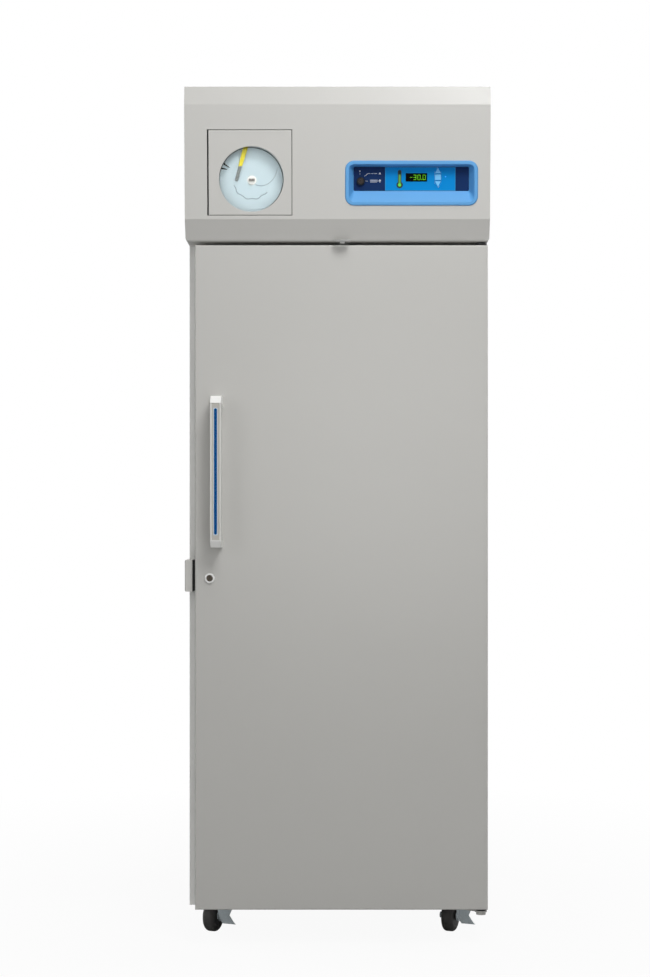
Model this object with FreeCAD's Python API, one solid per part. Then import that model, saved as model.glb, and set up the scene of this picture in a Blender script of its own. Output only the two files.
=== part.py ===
"""Upright plasma storage freezer with a top-mounted refrigeration unit, as an assembly of separate pieces.

Millimetres. +Z is up, the door faces -Y, and X runs to the right as seen from the front. The origin is on
the floor, under the middle of the whole footprint. Each function makes one named piece in its place.
"""

import FreeCAD, Part
import math
import os

Vec = FreeCAD.Vector

# Cabinet: outside sizes
header_width = 711.0
header_side_step = 3.0
body_depth = 820.0
box_height = 1547.0
skirt_height = 25.0
floor_gap = 83.0

# Cabinet: insulated box
wall = 60.0
skin = 1.5
liner_skin = 1.5
flange_width = 50.0
breaker_depth = 12.0

# Fits: gaps that several pieces share, and the run of a cutting block past the face that it opens
seat_gap = 0.3
running_gap = 0.06
over = 1.0

# Door: leaf
door_left_step = 19.0
door_thickness = 60.0
door_shell_depth = 50.0
door_skin = 1.2
door_corner_radius = 3.0
door_bottom_gap = 5.0
door_top_gap = 9.0
plateau_height = 10.0
plateau_radius = 6.0
plateau_margin = 14.0

# Door: gasket
gasket_inset = 27.5
gasket_width = 20.0
gasket_depth = 14.7
gasket_fold = 3.0

# Door: hinges
hinge_inset_x = 14.5
hinge_inset_y = 22.0
hinge_boss_radius = 14.0
hinge_plate = 4.0
hinge_side_gap = 1.0
hinge_header_gap = 2.0
hinge_leg_width = 33.0
hinge_leg_height = 21.0
hinge_foot_width = 99.0
hinge_foot_depth = 14.0
hinge_cup_radius = 11.2
hinge_cup_height = 6.0
hinge_pin_radius = 5.0
hinge_pin_length = 24.0
bush_radius = 8.0
bush_flange_radius = 12.0
bush_end_gap = 1.0

# Door: handle
handle_inset = 52.0
handle_height = 1025.5
handle_width = 25.0
handle_length = 352.0
handle_reach = 58.0
handle_bar = 18.0
handle_slope = 16.0
handle_foot = 26.0
handle_bend_radius = 7.0
handle_groove_width = 19.0
handle_groove_end = 18.0
handle_groove_depth = 0.9
inlay_width = 7.0
inlay_length = 292.0
inlay_depth = 2.0

# Door: lock, and its keeper on the cabinet
lock_inset = 34.5
lock_drop = 72.5
lock_ring_radius = 11.8
lock_ring_height = 5.0
lock_ring_chamfer = 1.8
lock_body_radius = 9.0
lock_body_length = 30.0
lock_body_end = 2.0
lock_plug_radius = 7.6
lock_plug_recess = 1.2
keyway_width = 2.2
keyway_height = 9.0
keyway_depth = 5.0
cam_thickness = 3.0
cam_width = 12.0
cam_reach = 44.0
cam_eye_radius = 8.0
cam_gap = 1.5
keeper_height = 75.0
keeper_rise = 5.0
keeper_side = 7.0
keeper_cover_width = 18.0
keeper_sheet = 3.0
keeper_insert_width = 5.4
keeper_insert_step = 1.0
keeper_forward = 55.0
keeper_wrap = 30.0
keeper_radius = 4.0

# Header: the formed front of the machine compartment
header_height = 354.0
header_projection = 40.0
header_sheet = 2.5
header_bottom_drop = 1.0
header_wrap = 25.0
cap_height = 43.0
cap_setback = 7.0
face_lean = 17.0
band_height = 48.0
band_setback = 24.0
header_bend_radius = 2.5
header_corner_radius = 7.0

# Header: chart recorder, placed from the header's left edge and up from the face's lower bend
recorder_inset = 151.5
recorder_up = 107.5
recorder_opening = 198.0
recorder_case_wall = 4.0
recorder_case_depth = 78.0
recorder_ledge = 3.0
recorder_well_depth = 30.0
recorder_seat_gap = 1.6
recorder_gap = 1.5
recorder_hinge_gap = 3.6
recorder_door_depth = 12.0
recorder_door_wall = 2.5
recorder_hinge_rail = 7.2
recorder_pivot_inset = 4.0
recorder_pin_radius = 1.6
recorder_pin_length = 6.5
recorder_bore_depth = 8.0
window_radius = 75.5
window_dx = 4.0
window_dy = -15.0
window_lap = 5.0
window_seat = 1.0
window_glass = 2.0
chart_radius = 79.0
chart_thickness = 0.6
chart_lift = 6.0
hub_radius = 9.0
hub_base = 4.0
hub_height = 8.0
hub_grip_length = 13.5
hub_grip_width = 5.4
spindle_radius = 3.0
spindle_top = 4.8
pen_pivot_dx = -12.0
pen_pivot_dy = 84.0
pen_length = 90.0
pen_width = 11.5
pen_tip_width = 6.5
pen_eye_radius = 6.5
pen_thickness = 1.6
pen_lean = 16.0
pen_lift = 3.0
pen_pin_radius = 3.0
pen_pin_top = 3.0
nib_radius = 1.2
nib_length = 2.4
nib_inset = 3.0

# Header: control panel, placed from the header's right edge and up from the face's lower bend
bezel_inset = 183.0
bezel_up = 83.0
bezel_width = 309.0
bezel_height = 103.5
bezel_radius = 21.0
bezel_lip = 8.5
bezel_proud = 3.0
bezel_chamfer = 2.0
bezel_depth = 18.0
tray_radius = 3.0
panel_shift = 12.0
panel_width = 269.0
panel_height = 56.0
panel_plate = 2.0
panel_margin = 4.0
display_dx = 12.0
display_dy = 3.5
display_width = 50.0
display_height = 19.0
display_proud = 0.8
key_dx = 62.2
key_size = 14.4
key_tip = 1.4
key_shoulder = 6.5
key_pitch = 15.5
key_clearance = 0.25
key_proud = 1.0
key_depth = 3.0
switch_dx = -118.1
switch_dy = -6.0
switch_radius = 9.5
switch_height = 7.0
switch_chamfer = 1.5
switch_barrel_radius = 7.5
switch_barrel_length = 26.0
switch_floor = 2.0
switch_plug_radius = 5.2
switch_plug_proud = 0.6
switch_slot_length = 7.2
switch_slot_depth = 4.0

# Header: door sensor
sensor_offset = 11.6
sensor_width = 35.0
sensor_foot = 2.5
sensor_stem = 14.0
sensor_depth = 14.0
sensor_back = 40.0
sensor_step = 2.0
sensor_gap = 1.5

# Machine compartment: walls
side_front_gap = 1.0
side_flange = 18.0
side_drop = 6.0
grille_slots = 11
grille_columns = 2
grille_slot_height = 9.0
grille_margin = 34.0

# Machine compartment: compressor, placed from the right wall and the back
compressor_inset_x = 162.5
compressor_inset_y = 286.5
compressor_radius = 88.0
compressor_height = 190.0
compressor_crown = 44.0
compressor_heel = 16.0
seam_height = 104.0
seam_proud = 3.0
seam_thickness = 5.0
compressor_foot = 16.0
foot_plate = 3.0
foot_spacing = 150.0
foot_margin = 14.0
foot_corner = 12.0
grommet_radius = 15.0
terminal_width = 68.0
terminal_depth = 26.0
terminal_bottom = 40.0
terminal_height = 70.0
stub_radius = 8.0
stub_length = 12.0
stub_height = 85.0

# Machine compartment: condenser with its fan, from the left wall to the discharge line
condenser_inset_x = 67.5
condenser_inset_y = 233.5
condenser_height = 240.0
condenser_depth = 52.0
condenser_frame = 10.0
condenser_end = 3.0
condenser_fin_count = 24
fin_thickness = 1.6
fin_reach = 14.0
shroud_depth = 45.0
shroud_sheet = 2.0
fan_radius = 98.0
fan_hub_radius = 30.0
fan_depth = 26.0
fan_blades = 5
fan_tip_gap = 5.0
blade_chord_share = 0.75
blade_sheet = 2.0
shaft_radius = 4.0
shaft_grip = 14.0
strap_height = 24.0
strap_inset = 20.0
strap_sheet = 3.0
motor_radius = 36.0
motor_length = 62.0
motor_chamfer = 5.0

# Machine compartment: copper lines
discharge_radius = 5.0
discharge_bend = 18.0
discharge_gap = 42.0
liquid_radius = 4.0
liquid_bend = 28.0
liquid_run = 70.0
liquid_height = 40.0
liquid_back = 86.0
feed_radius = 3.0
feed_bend = 17.0
feed_run = 36.0
dryer_radius = 12.0
dryer_length = 66.0
dryer_chamfer = 7.0
suction_radius = 7.0
suction_bend = 28.0
suction_run = 50.0

# Machine compartment: electrical box, placed from the left wall and the back, and the power inlet behind it
electrical_inset_x = 122.5
electrical_inset_y = 236.5
electrical_width = 190.0
electrical_depth = 150.0
electrical_height = 130.0
electrical_corner = 4.0
lid_lap = 2.0
lid_height = 14.0
gland_count = 3
gland_pitch = 45.0
gland_radius = 9.0
gland_length = 12.0
inlet_rise = 1.0
inlet_width = 50.0
inlet_height = 30.0
inlet_depth = 30.0
inlet_wall = 6.0
inlet_pin = 3.0
inlet_pin_dx = 9.0
inlet_pin_dz = 4.0

# Cold space: evaporator and its fan
evaporator_height = 100.0
evaporator_inset_x = 22.0
evaporator_front = 60.0
evaporator_back = 30.0
evaporator_sheet = 1.5
evaporator_fan_radius = 38.0
evaporator_hub_radius = 13.0
evaporator_fan_depth = 16.0
evaporator_motor_gap = 9.0
evaporator_motor_radius = 17.0
evaporator_motor_length = 36.0
hanger_width = 17.0
hanger_inset = 8.0
evaporator_coil_gap = 40.0
evaporator_coil_inset = 40.0
evaporator_coil_depth = 150.0
evaporator_pan = 12.0
evaporator_fin_count = 16

# Cold space: drawers and the runners that carry them
drawer_count = 5
drawer_height = 170.0
drawer_sheet = 1.5
drawer_floor_gap = 14.0
drawer_front = 40.0
drawer_back_gap = 60.0
drawer_lip = 18.0
drawer_lip_margin = 110.0
drawer_flange = 10.0
drawer_clearance = 1.0
runner_width = 14.0
runner_thickness = 2.0
post_width = 20.0
post_depth = 6.0
post_inset = 66.0

# Base frame
rail_width = 70.0
rail_depth = 10.0
rail_sheet = 3.0
cross_width = 35.0

# Casters
caster_inset_x = 64.0
caster_front = 122.0
caster_rear = 100.0
caster_plate_length = 92.0
caster_plate_width = 62.0
caster_plate = 4.0
race_radius = 25.0
race_height = 6.0
kingpin_radius = 6.0
kingpin_end = 1.0
crown_radius = 23.0
crown_height = 4.0
wheel_radius = 38.0
wheel_width = 30.0
wheel_shoulder = 5.0
rim_radius = 22.0
rim_sheet = 4.0
rim_step = 1.0
web_half = 4.0
boss_radius = 10.0
trail = 39.0
yoke_back = 20.0
yoke_front = 24.0
fork_sheet = 2.5
fork_clearance = 3.0
fork_end_radius = 13.0
fork_heel = 12.0
fork_heel_drop = 14.0
axle_radius = 4.0
nut_radius = 7.5
nut_height = 5.0
brake_sheet = 2.0
brake_disc_radius = 13.0
brake_width = 26.0
brake_heel = 10.0
brake_toe = 30.0
brake_toe_drop = 9.0
brake_fold = 22.0
brake_fold_drop = 19.0
caster_yaw = {"front_left": -110.0, "front_right": -110.0, "rear_left": -96.0, "rear_right": -118.0}

# Places worked out from the sizes above: cabinet
half_width = header_width / 2 - header_side_step
total_depth = body_depth + seat_gap + gasket_depth + door_thickness + handle_reach
back_y = total_depth / 2
front_y = back_y - body_depth
box_bottom = floor_gap + skirt_height
box_top = box_bottom + box_height
cavity_half = half_width - wall
cavity_bottom = box_bottom + wall
cavity_top = box_top - wall
cavity_back = back_y - wall

# Places: door
door_back_y = front_y - seat_gap - gasket_depth
door_front_y = door_back_y - door_thickness
door_left = -half_width + door_left_step
door_right = half_width
door_bottom = floor_gap + door_bottom_gap
header_bottom = box_top - header_bottom_drop
door_top = header_bottom - door_top_gap
hinge_x = door_right - hinge_inset_x
hinge_y = door_front_y + hinge_inset_y
hinge_top_z = header_bottom - hinge_header_gap - hinge_plate
handle_x = door_left + handle_inset
handle_z = door_bottom + handle_height
handle_front_y = door_front_y - handle_reach
lock_x = door_left + lock_inset
lock_z = handle_z - handle_length / 2 - lock_drop
lock_front_y = door_front_y - lock_ring_height
lock_cam_y = door_front_y + lock_body_length
keeper_left = -half_width - keeper_side
keeper_front_y = front_y - keeper_forward
keeper_low = lock_z + keeper_rise - keeper_height / 2
keeper_high = keeper_low + keeper_height

# Places: header, with the recorder and the panel in the plane of its leaning face
header_half = header_width / 2
header_top = header_bottom + header_height
header_front_y = door_front_y - header_projection
face_bottom_z = header_bottom + band_height
face_top_z = header_top - cap_height
face_bottom_y = header_front_y + face_lean
face_angle = math.degrees(math.atan2(face_lean, face_top_z - face_bottom_z))
recorder_x = recorder_inset - header_half
recorder_left = recorder_x - recorder_opening / 2 + recorder_hinge_gap
recorder_pivot_x = recorder_left + recorder_pivot_inset
recorder_pivot_out = -recorder_pivot_inset
window_x = recorder_x + window_dx
window_up = recorder_up + window_dy
chart_level = chart_lift - recorder_well_depth
pen_x = window_x + pen_pivot_dx
pen_up = window_up + pen_pivot_dy
pen_level = chart_level + chart_thickness + pen_lift
bezel_x = header_half - bezel_inset
panel_up = bezel_up + panel_shift
plate_level = -bezel_depth
display_x = bezel_x + display_dx
display_up = panel_up + display_dy
key_x = bezel_x + key_dx
key_rows = {"up": 1, "mode": 0, "down": -1}
switch_x = bezel_x + switch_dx
switch_up = panel_up + switch_dy
switch_bottom = plate_level - switch_barrel_length

# Places: machine compartment
side_top = header_top - side_drop
compressor_x = half_width - compressor_inset_x
compressor_y = back_y - compressor_inset_y
stub_z = box_top + compressor_foot + stub_height
stub_reach = compressor_radius + stub_length
condenser_left = condenser_inset_x - half_width
condenser_right = compressor_x - stub_reach - discharge_gap - condenser_end
condenser_x = (condenser_left + condenser_right) / 2
condenser_y = front_y + condenser_inset_y
condenser_top = box_top + condenser_height
shroud_y = condenser_y + condenser_depth
fan_y = shroud_y + shroud_depth / 2
fan_z = box_top + condenser_height / 2
electrical_x = electrical_inset_x - half_width
electrical_y = back_y - electrical_inset_y
inlet_z = box_top + inlet_rise

# Places: cold space
hood_half = cavity_half - evaporator_inset_x
hood_bottom = cavity_top - evaporator_height
evaporator_fan_y = front_y + evaporator_front + evaporator_fan_depth / 2 + fan_tip_gap
evaporator_fan_z = cavity_top - evaporator_height / 2
drawer_half = cavity_half - post_depth - runner_width - drawer_clearance
drawer_y0 = front_y + drawer_front
drawer_y1 = cavity_back - drawer_back_gap
drawer_pitch = (hood_bottom - cavity_bottom - 2 * drawer_floor_gap) / drawer_count
drawer_levels = [cavity_bottom + drawer_floor_gap + i * drawer_pitch for i in range(drawer_count)]

# Places: casters, each turned about its kingpin from a wheel that trails along +X
caster_height = box_bottom - rail_depth
caster_x = half_width - caster_inset_x
caster_places = {
    "front_left": (-caster_x, front_y + caster_front),
    "front_right": (caster_x, front_y + caster_front),
    "rear_left": (-caster_x, back_y - caster_rear),
    "rear_right": (caster_x, back_y - caster_rear),
}
axle_z = wheel_radius
fork_top = caster_height - caster_plate - race_height - seat_gap
yoke_top = fork_top - crown_height
fork_half = wheel_width / 2 + fork_clearance
fork_outer = fork_half + fork_sheet
brake_y = fork_outer + seat_gap


def box(x0, x1, y0, y1, z0, z1):
    """A block between three pairs of limits."""
    return Part.makeBox(x1 - x0, y1 - y0, z1 - z0, Vec(x0, y0, z0))


def rod(x, y, z, radius, length, axis):
    """A cylinder that starts at a point and runs along an axis."""
    return Part.makeCylinder(radius, length, Vec(x, y, z), Vec(*axis))


def spigot(x, up, out, radius, length):
    """A cylinder in the header's face plane that starts at a depth and runs outwards."""
    return rod(x, up, out, radius, length, (0, 0, 1))


def prism(points, along):
    """A closed outline of points, pushed along a vector."""
    corners = [Vec(*p) for p in points]
    return Part.Face(Part.makePolygon(corners + corners[:1])).extrude(Vec(*along))


def slab(points, y0, thickness):
    """An upright plate whose outline is given by pairs of x and z."""
    return prism([(x, y0, z) for x, z in points], (0, thickness, 0))


def rounded_outline(cx, cy, width, height, radius, level):
    """A rectangle with round corners, in a plane of constant z."""
    hx = width / 2 - radius
    hy = height / 2 - radius
    edges = []
    for quarter, (sx, sy) in enumerate(((1, 1), (-1, 1), (-1, -1), (1, -1))):
        centre = Vec(cx + sx * hx, cy + sy * hy, level)
        arc = Part.makeCircle(radius, centre, Vec(0, 0, 1), quarter * 90, quarter * 90 + 90)
        if edges:
            edges.append(Part.makeLine(edges[-1].Vertexes[-1].Point, arc.Vertexes[0].Point))
        edges.append(arc)
    edges.append(Part.makeLine(edges[-1].Vertexes[-1].Point, edges[0].Vertexes[0].Point))
    return Part.Wire(edges)


def rounded_plate(cx, cy, width, height, radius, z0, z1):
    """A rectangular plate with round corners between two levels."""
    outline = rounded_outline(cx, cy, width, height, radius, z0)
    return Part.Face(outline).extrude(Vec(0, 0, z1 - z0))


def edges_where(shape, test):
    """The edges of a shape whose bounding box passes a test."""
    return [edge for edge in shape.Edges if test(edge.BoundBox)]


def near(a, b):
    """True when two lengths are the same for any practical purpose."""
    return math.isclose(a, b, abs_tol=0.01)


def upright_edges(shape):
    """The edges of a shape that run along z."""
    return edges_where(shape, lambda b: b.ZLength > over and near(b.XLength, 0) and near(b.YLength, 0))


def joined(first, *others):
    """Pieces of one body made into one solid."""
    return first.multiFuse(list(others)).removeSplitter()


def on_face(shape):
    """Moves a shape from the plane of the header's leaning face to its place: x right, y up, z outwards."""
    turn = FreeCAD.Rotation(Vec(1, 0, 0), 90 + face_angle)
    place = FreeCAD.Placement(Vec(0, face_bottom_y, face_bottom_z), turn)
    shape.Placement = place.multiply(shape.Placement)
    return shape


def tube(points, radius, bend):
    """A round rod along straight runs, with a ring-shaped bend at each corner."""
    corners = [Vec(*p) for p in points]
    pieces = []
    start = corners[0]
    for before, corner, after in zip(corners, corners[1:], corners[2:]):
        back = (before - corner).normalize()
        ahead = (after - corner).normalize()
        half_turn = (math.pi - back.getAngle(ahead)) / 2
        setback = bend * math.tan(half_turn)
        bend_start = corner + back * setback
        centre = corner + (back + ahead).normalize() * (bend / math.cos(half_turn))
        pieces.append(straight(start, bend_start, radius))
        section = Part.Face(Part.Wire(Part.makeCircle(radius, bend_start, back)))
        axis = (bend_start - centre).cross(back * -1)
        pieces.append(section.revolve(centre, axis, math.degrees(2 * half_turn)))
        start = corner + ahead * setback
    pieces.append(straight(start, corners[-1], radius))
    return joined(*pieces)


def straight(start, end, radius):
    """A cylinder between two points."""
    return Part.makeCylinder(radius, (end - start).Length, start, end - start)


def finned_coil(x0, x1, y0, y1, z0, z1, count):
    """A finned coil: thin upright plates that stand out of both faces of a solid core."""
    pitch = (x1 - x0 - fin_thickness) / (count - 1)
    front = []
    back = []
    for i in range(count):
        left = x0 + i * pitch
        right = left + fin_thickness
        front += [(left, y0 + fin_reach, z0), (left, y0, z0), (right, y0, z0), (right, y0 + fin_reach, z0)]
        back += [(left, y1 - fin_reach, z0), (left, y1, z0), (right, y1, z0), (right, y1 - fin_reach, z0)]
    return prism(front + back[::-1], (0, 0, z1 - z0))


def foam_block():
    """The inside of the steel wrapper as a block."""
    half = half_width - skin
    return box(-half, half, front_y + skin, back_y - skin, box_bottom + skin, box_top - skin)


def cold_block(grow, y0, y1):
    """The cold space as a block, grown on its four sides."""
    half = cavity_half + grow
    return box(-half, half, y0, y1, cavity_bottom - grow, cavity_top + grow)


def outer_shell():
    """The painted steel wrapper of the insulated box, with flanges round its front."""
    block = box(-half_width, half_width, front_y, back_y, box_bottom, box_top)
    mouth = cold_block(wall - flange_width, front_y, front_y + skin)
    return block.cut(foam_block()).cut(mouth)


def insulation_foam():
    """The foam between the wrapper and the liner."""
    frame = cold_block(wall - flange_width, front_y, front_y + breaker_depth)
    cold = cold_block(liner_skin, front_y, cavity_back + liner_skin)
    return foam_block().cut(frame).cut(cold)


def inner_liner():
    """The liner of the cold space, and the plastic frame that joins its mouth to the front flange."""
    start = front_y + breaker_depth
    outside = cold_block(liner_skin, start, cavity_back + liner_skin)
    liner = outside.cut(cold_block(0, start, cavity_back))
    frame = cold_block(wall - flange_width, front_y, start).cut(cold_block(0, front_y, start))
    return Part.makeCompound([liner, frame])


def base_frame():
    """The skirt under the box, with the two channel rails and two cross members that carry the casters."""
    y0 = front_y + skin
    y1 = back_y - skin
    skirt = box(-half_width, half_width, front_y, back_y, floor_gap, box_bottom)
    skirt = skirt.cut(box(-half_width + skin, half_width - skin, y0, y1, floor_gap, box_bottom))
    low = caster_height
    members = []
    for side in (-1, 1):
        x0 = side * caster_x - rail_width / 2
        x1 = x0 + rail_width
        hollow = box(x0 + rail_sheet, x1 - rail_sheet, y0, y1, low + rail_sheet, box_bottom)
        members.append(box(x0, x1, y0, y1, low, box_bottom).cut(hollow))
    reach = caster_x - rail_width / 2
    for name in ("front_left", "rear_left"):
        y = caster_places[name][1] - cross_width / 2
        members.append(box(-reach, reach, y, y + cross_width, low, low + rail_sheet))
    return joined(skirt, *members)


def header_outline(x):
    """The header's side outline, from the back of its top round its front to the back of its bottom."""
    back = front_y + header_wrap
    corners = [
        Vec(x, back, header_top),
        Vec(x, header_front_y + cap_setback, header_top),
        Vec(x, header_front_y, face_top_z),
        Vec(x, face_bottom_y, face_bottom_z),
        Vec(x, face_bottom_y + band_setback, header_bottom),
        Vec(x, back, header_bottom),
    ]
    return Part.makePolygon(corners + corners[:1])


def header_panel():
    """The formed front of the machine compartment: a cap, a leaning face and a band that turns under."""
    block = Part.Face(header_outline(-header_half)).extrude(Vec(header_width, 0, 0))
    bend_levels = (face_top_z, face_bottom_z)
    bends = edges_where(block, lambda b: b.XLength > over and any(near(b.ZMin, z) for z in bend_levels))
    block = block.makeFillet(header_bend_radius, bends)
    lowest = edges_where(block, lambda b: near(b.ZMax, header_bottom) and b.YMin < front_y)
    block = block.makeFillet(header_corner_radius, lowest)
    inner_half = header_half - header_sheet
    inside = header_outline(-inner_half).makeOffset2D(-header_sheet, 2)
    hollow = Part.Face(inside).extrude(Vec(2 * inner_half, 0, 0))
    back = front_y + header_wrap + over
    ledge = header_bottom + header_sheet
    mouth = box(-inner_half, inner_half, front_y, back, ledge, header_top - header_sheet)
    seat = box(-inner_half, inner_half, front_y, back, header_bottom - over, ledge)
    panel = block.cut(hollow).cut(mouth).cut(seat)
    recorder_hole = on_face(recorder_square(recorder_opening, -2 * header_sheet, header_sheet))
    return panel.cut(recorder_hole).cut(on_face(bezel_block(0, -2 * header_sheet, header_sheet)))


def machine_side_panels():
    """Left and right walls of the machine compartment, each with a flange along its top."""
    y0 = front_y + side_front_gap
    panels = []
    for side in (-1, 1):
        outer, inner, lip = (side * x for x in (half_width, half_width - skin, half_width - side_flange))
        sheet = box(min(outer, inner), max(outer, inner), y0, back_y, box_top, side_top)
        flange = box(min(outer, lip), max(outer, lip), y0, back_y, side_top - skin, side_top)
        panels.append(joined(sheet, flange))
    return Part.makeCompound(panels)


def rear_grille():
    """The slotted back wall of the machine compartment, with an opening for the power inlet."""
    half = half_width - skin - seat_gap
    top = side_top - skin - seat_gap
    sheet = box(-half, half, back_y - skin, back_y, box_top, top)
    pitch = (top - box_top - 2 * grille_margin) / grille_slots
    width = (2 * half - (grille_columns + 1) * grille_margin) / grille_columns
    for column in range(grille_columns):
        x = -half + grille_margin + column * (width + grille_margin)
        for row in range(grille_slots):
            z = box_top + grille_margin + row * pitch
            sheet = sheet.cut(box(x, x + width, back_y - skin, back_y, z, z + grille_slot_height))
    return sheet.cut(inlet_throat(back_y - skin, back_y))


def bezel_block(gap, z0, z1):
    """The part of the bezel that goes through the header's face, or the hole for it, between two depths."""
    width = bezel_width - bezel_lip - 2 * gap
    height = bezel_height - bezel_lip - 2 * gap
    return rounded_plate(bezel_x, bezel_up, width, height, bezel_radius - bezel_lip / 2 - gap, z0, z1)


def control_bezel():
    """The moulded frame round the control panel: a raised lip and a tray that slopes in to the panel."""
    lip = rounded_plate(bezel_x, bezel_up, bezel_width, bezel_height, bezel_radius, 0, bezel_proud)
    rim = edges_where(lip, lambda b: near(b.ZMin, bezel_proud))
    lip = lip.makeChamfer(bezel_chamfer, rim)
    inner = 2 * bezel_lip
    mouth = rounded_outline(
        bezel_x, bezel_up, bezel_width - inner, bezel_height - inner, bezel_radius - bezel_lip, bezel_proud
    )
    floor = rounded_outline(bezel_x, panel_up, panel_width, panel_height, tray_radius, -bezel_depth)
    tray = Part.makeLoft([mouth, floor], True, True)
    return on_face(joined(lip, bezel_block(seat_gap, -bezel_depth, 0)).cut(tray))


def key_outline(kind, grow):
    """The outline of a key: an arrow up, a square, or an arrow down, widened by a clearance."""
    half = key_size / 2 + grow
    if kind == "mode":
        return [(-half, -half), (half, -half), (half, half), (-half, half)]
    tip = key_tip / 2 + grow
    shoulder = key_shoulder - half
    arrow = [(-half, -half), (half, -half), (half, shoulder), (tip, half), (-tip, half), (-half, shoulder)]
    if kind == "up":
        return arrow
    return [(x, -y) for x, y in arrow[::-1]]


def key_block(kind, grow, z0, z1):
    """A key, or the hole for it, between two levels."""
    up = display_up + key_rows[kind] * key_pitch
    return prism([(key_x + x, up + y, z0) for x, y in key_outline(kind, grow)], (0, 0, z1 - z0))


def control_key(kind):
    """One key of the control panel, which travels in through the plate."""
    top = plate_level + key_proud
    return on_face(key_block(kind, 0, top - key_depth, top))


def control_plate():
    """The printed plate at the bottom of the bezel, with holes for the keys and the key switch."""
    half_x = panel_width / 2 + panel_margin
    half_y = panel_height / 2 + panel_margin
    low = plate_level - panel_plate
    plate = box(bezel_x - half_x, bezel_x + half_x, panel_up - half_y, panel_up + half_y, low, plate_level)
    for kind in key_rows:
        plate = plate.cut(key_block(kind, key_clearance, low, plate_level))
    return on_face(plate.cut(spigot(switch_x, switch_up, low, switch_barrel_radius, panel_plate)))


def display_window():
    """The dark window over the figures."""
    x0 = display_x - display_width / 2
    y0 = display_up - display_height / 2
    top = plate_level + display_proud
    return on_face(box(x0, x0 + display_width, y0, y0 + display_height, plate_level, top))


def key_switch_body():
    """The barrel and collar of the key switch."""
    top = plate_level + switch_height
    collar = spigot(switch_x, switch_up, plate_level, switch_radius, switch_height)
    collar = collar.makeChamfer(switch_chamfer, edges_where(collar, lambda b: near(b.ZMin, top)))
    barrel = spigot(switch_x, switch_up, switch_bottom, switch_barrel_radius, switch_barrel_length)
    floor = switch_bottom + switch_floor
    bore = spigot(switch_x, switch_up, floor, switch_plug_radius + running_gap, top - floor)
    return on_face(joined(collar, barrel).cut(bore))


def key_switch_plug():
    """The turning core of the key switch, with its keyway."""
    bottom = switch_bottom + switch_floor + seat_gap
    top = plate_level + switch_height + switch_plug_proud
    plug = spigot(switch_x, switch_up, bottom, switch_plug_radius, top - bottom)
    x0 = switch_x - keyway_width / 2
    y0 = switch_up - switch_slot_length / 2
    slot = box(x0, x0 + keyway_width, y0, y0 + switch_slot_length, top - switch_slot_depth, top)
    return on_face(plug.cut(slot))


def recorder_square(size, z0, z1):
    """A square block centred on the recorder, between two depths."""
    half = size / 2
    return box(recorder_x - half, recorder_x + half, recorder_up - half, recorder_up + half, z0, z1)


def recorder_case():
    """The recorder's housing: a pocket for its door, and a well with the spindle and the pen's post."""
    rim = -header_sheet
    step = -recorder_door_depth - recorder_seat_gap
    floor = -recorder_well_depth
    block = recorder_square(recorder_opening + 2 * recorder_case_wall, -recorder_case_depth, rim)
    pocket = recorder_square(recorder_opening, step, rim)
    well = recorder_square(recorder_opening - 2 * recorder_ledge, floor, rim)
    spindle = spigot(window_x, window_up, floor, spindle_radius, chart_lift + spindle_top)
    post = spigot(pen_x, pen_up, floor, pen_pin_radius, pen_level + pen_thickness + pen_pin_top - floor)
    low = recorder_up - recorder_opening / 2
    pins = []
    for y, up in ((low, 1), (low + recorder_opening, -1)):
        start = (recorder_pivot_x, y, recorder_pivot_out)
        pins.append(rod(*start, recorder_pin_radius, recorder_pin_length, (0, up, 0)))
    return on_face(joined(block.cut(pocket).cut(well), spindle, post, *pins))


def recorder_door():
    """The square door of the recorder, a shallow pan with a round window and a hinge rail on its left."""
    x1 = recorder_x + recorder_opening / 2 - recorder_gap
    half = recorder_opening / 2 - recorder_gap
    y0 = recorder_up - half
    y1 = recorder_up + half
    sheet = recorder_door_wall
    pan = box(recorder_left, x1, y0, y1, -recorder_door_depth, 0)
    hollow = box(
        recorder_left + recorder_hinge_rail, x1 - sheet, y0 + sheet, y1 - sheet, -recorder_door_depth, -sheet
    )
    seat_radius = window_radius + window_lap + window_seat
    seat = spigot(window_x, window_up, -recorder_door_depth, seat_radius, recorder_door_depth - sheet)
    hole = spigot(window_x, window_up, -recorder_door_depth, window_radius, recorder_door_depth)
    pan = pan.cut(hollow).cut(seat).cut(hole)
    for y, up in ((y0, 1), (y1, -1)):
        radius = recorder_pin_radius + running_gap
        pan = pan.cut(rod(recorder_pivot_x, y, recorder_pivot_out, radius, recorder_bore_depth, (0, up, 0)))
    return on_face(pan)


def recorder_window():
    """The clear disc held behind the round opening."""
    back = -recorder_door_wall - window_glass
    return on_face(spigot(window_x, window_up, back, window_radius + window_lap, window_glass))


def chart_disc():
    """The paper chart, driven round by the spindle."""
    disc = spigot(window_x, window_up, chart_level, chart_radius, chart_thickness)
    hole = spigot(window_x, window_up, chart_level, spindle_radius + running_gap, chart_thickness)
    return on_face(disc.cut(hole))


def chart_hub():
    """The knob that clamps the chart on its spindle, with a finger grip across it."""
    base = chart_level + chart_thickness
    half_x = hub_grip_length / 2
    half_y = hub_grip_width / 2
    knob = spigot(window_x, window_up, base, hub_radius, hub_base)
    grip = box(
        window_x - half_x, window_x + half_x, window_up - half_y, window_up + half_y, base, base + hub_height
    )
    bore = spigot(window_x, window_up, base, spindle_radius + running_gap, spindle_top)
    return on_face(joined(knob, grip).cut(bore))


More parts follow.
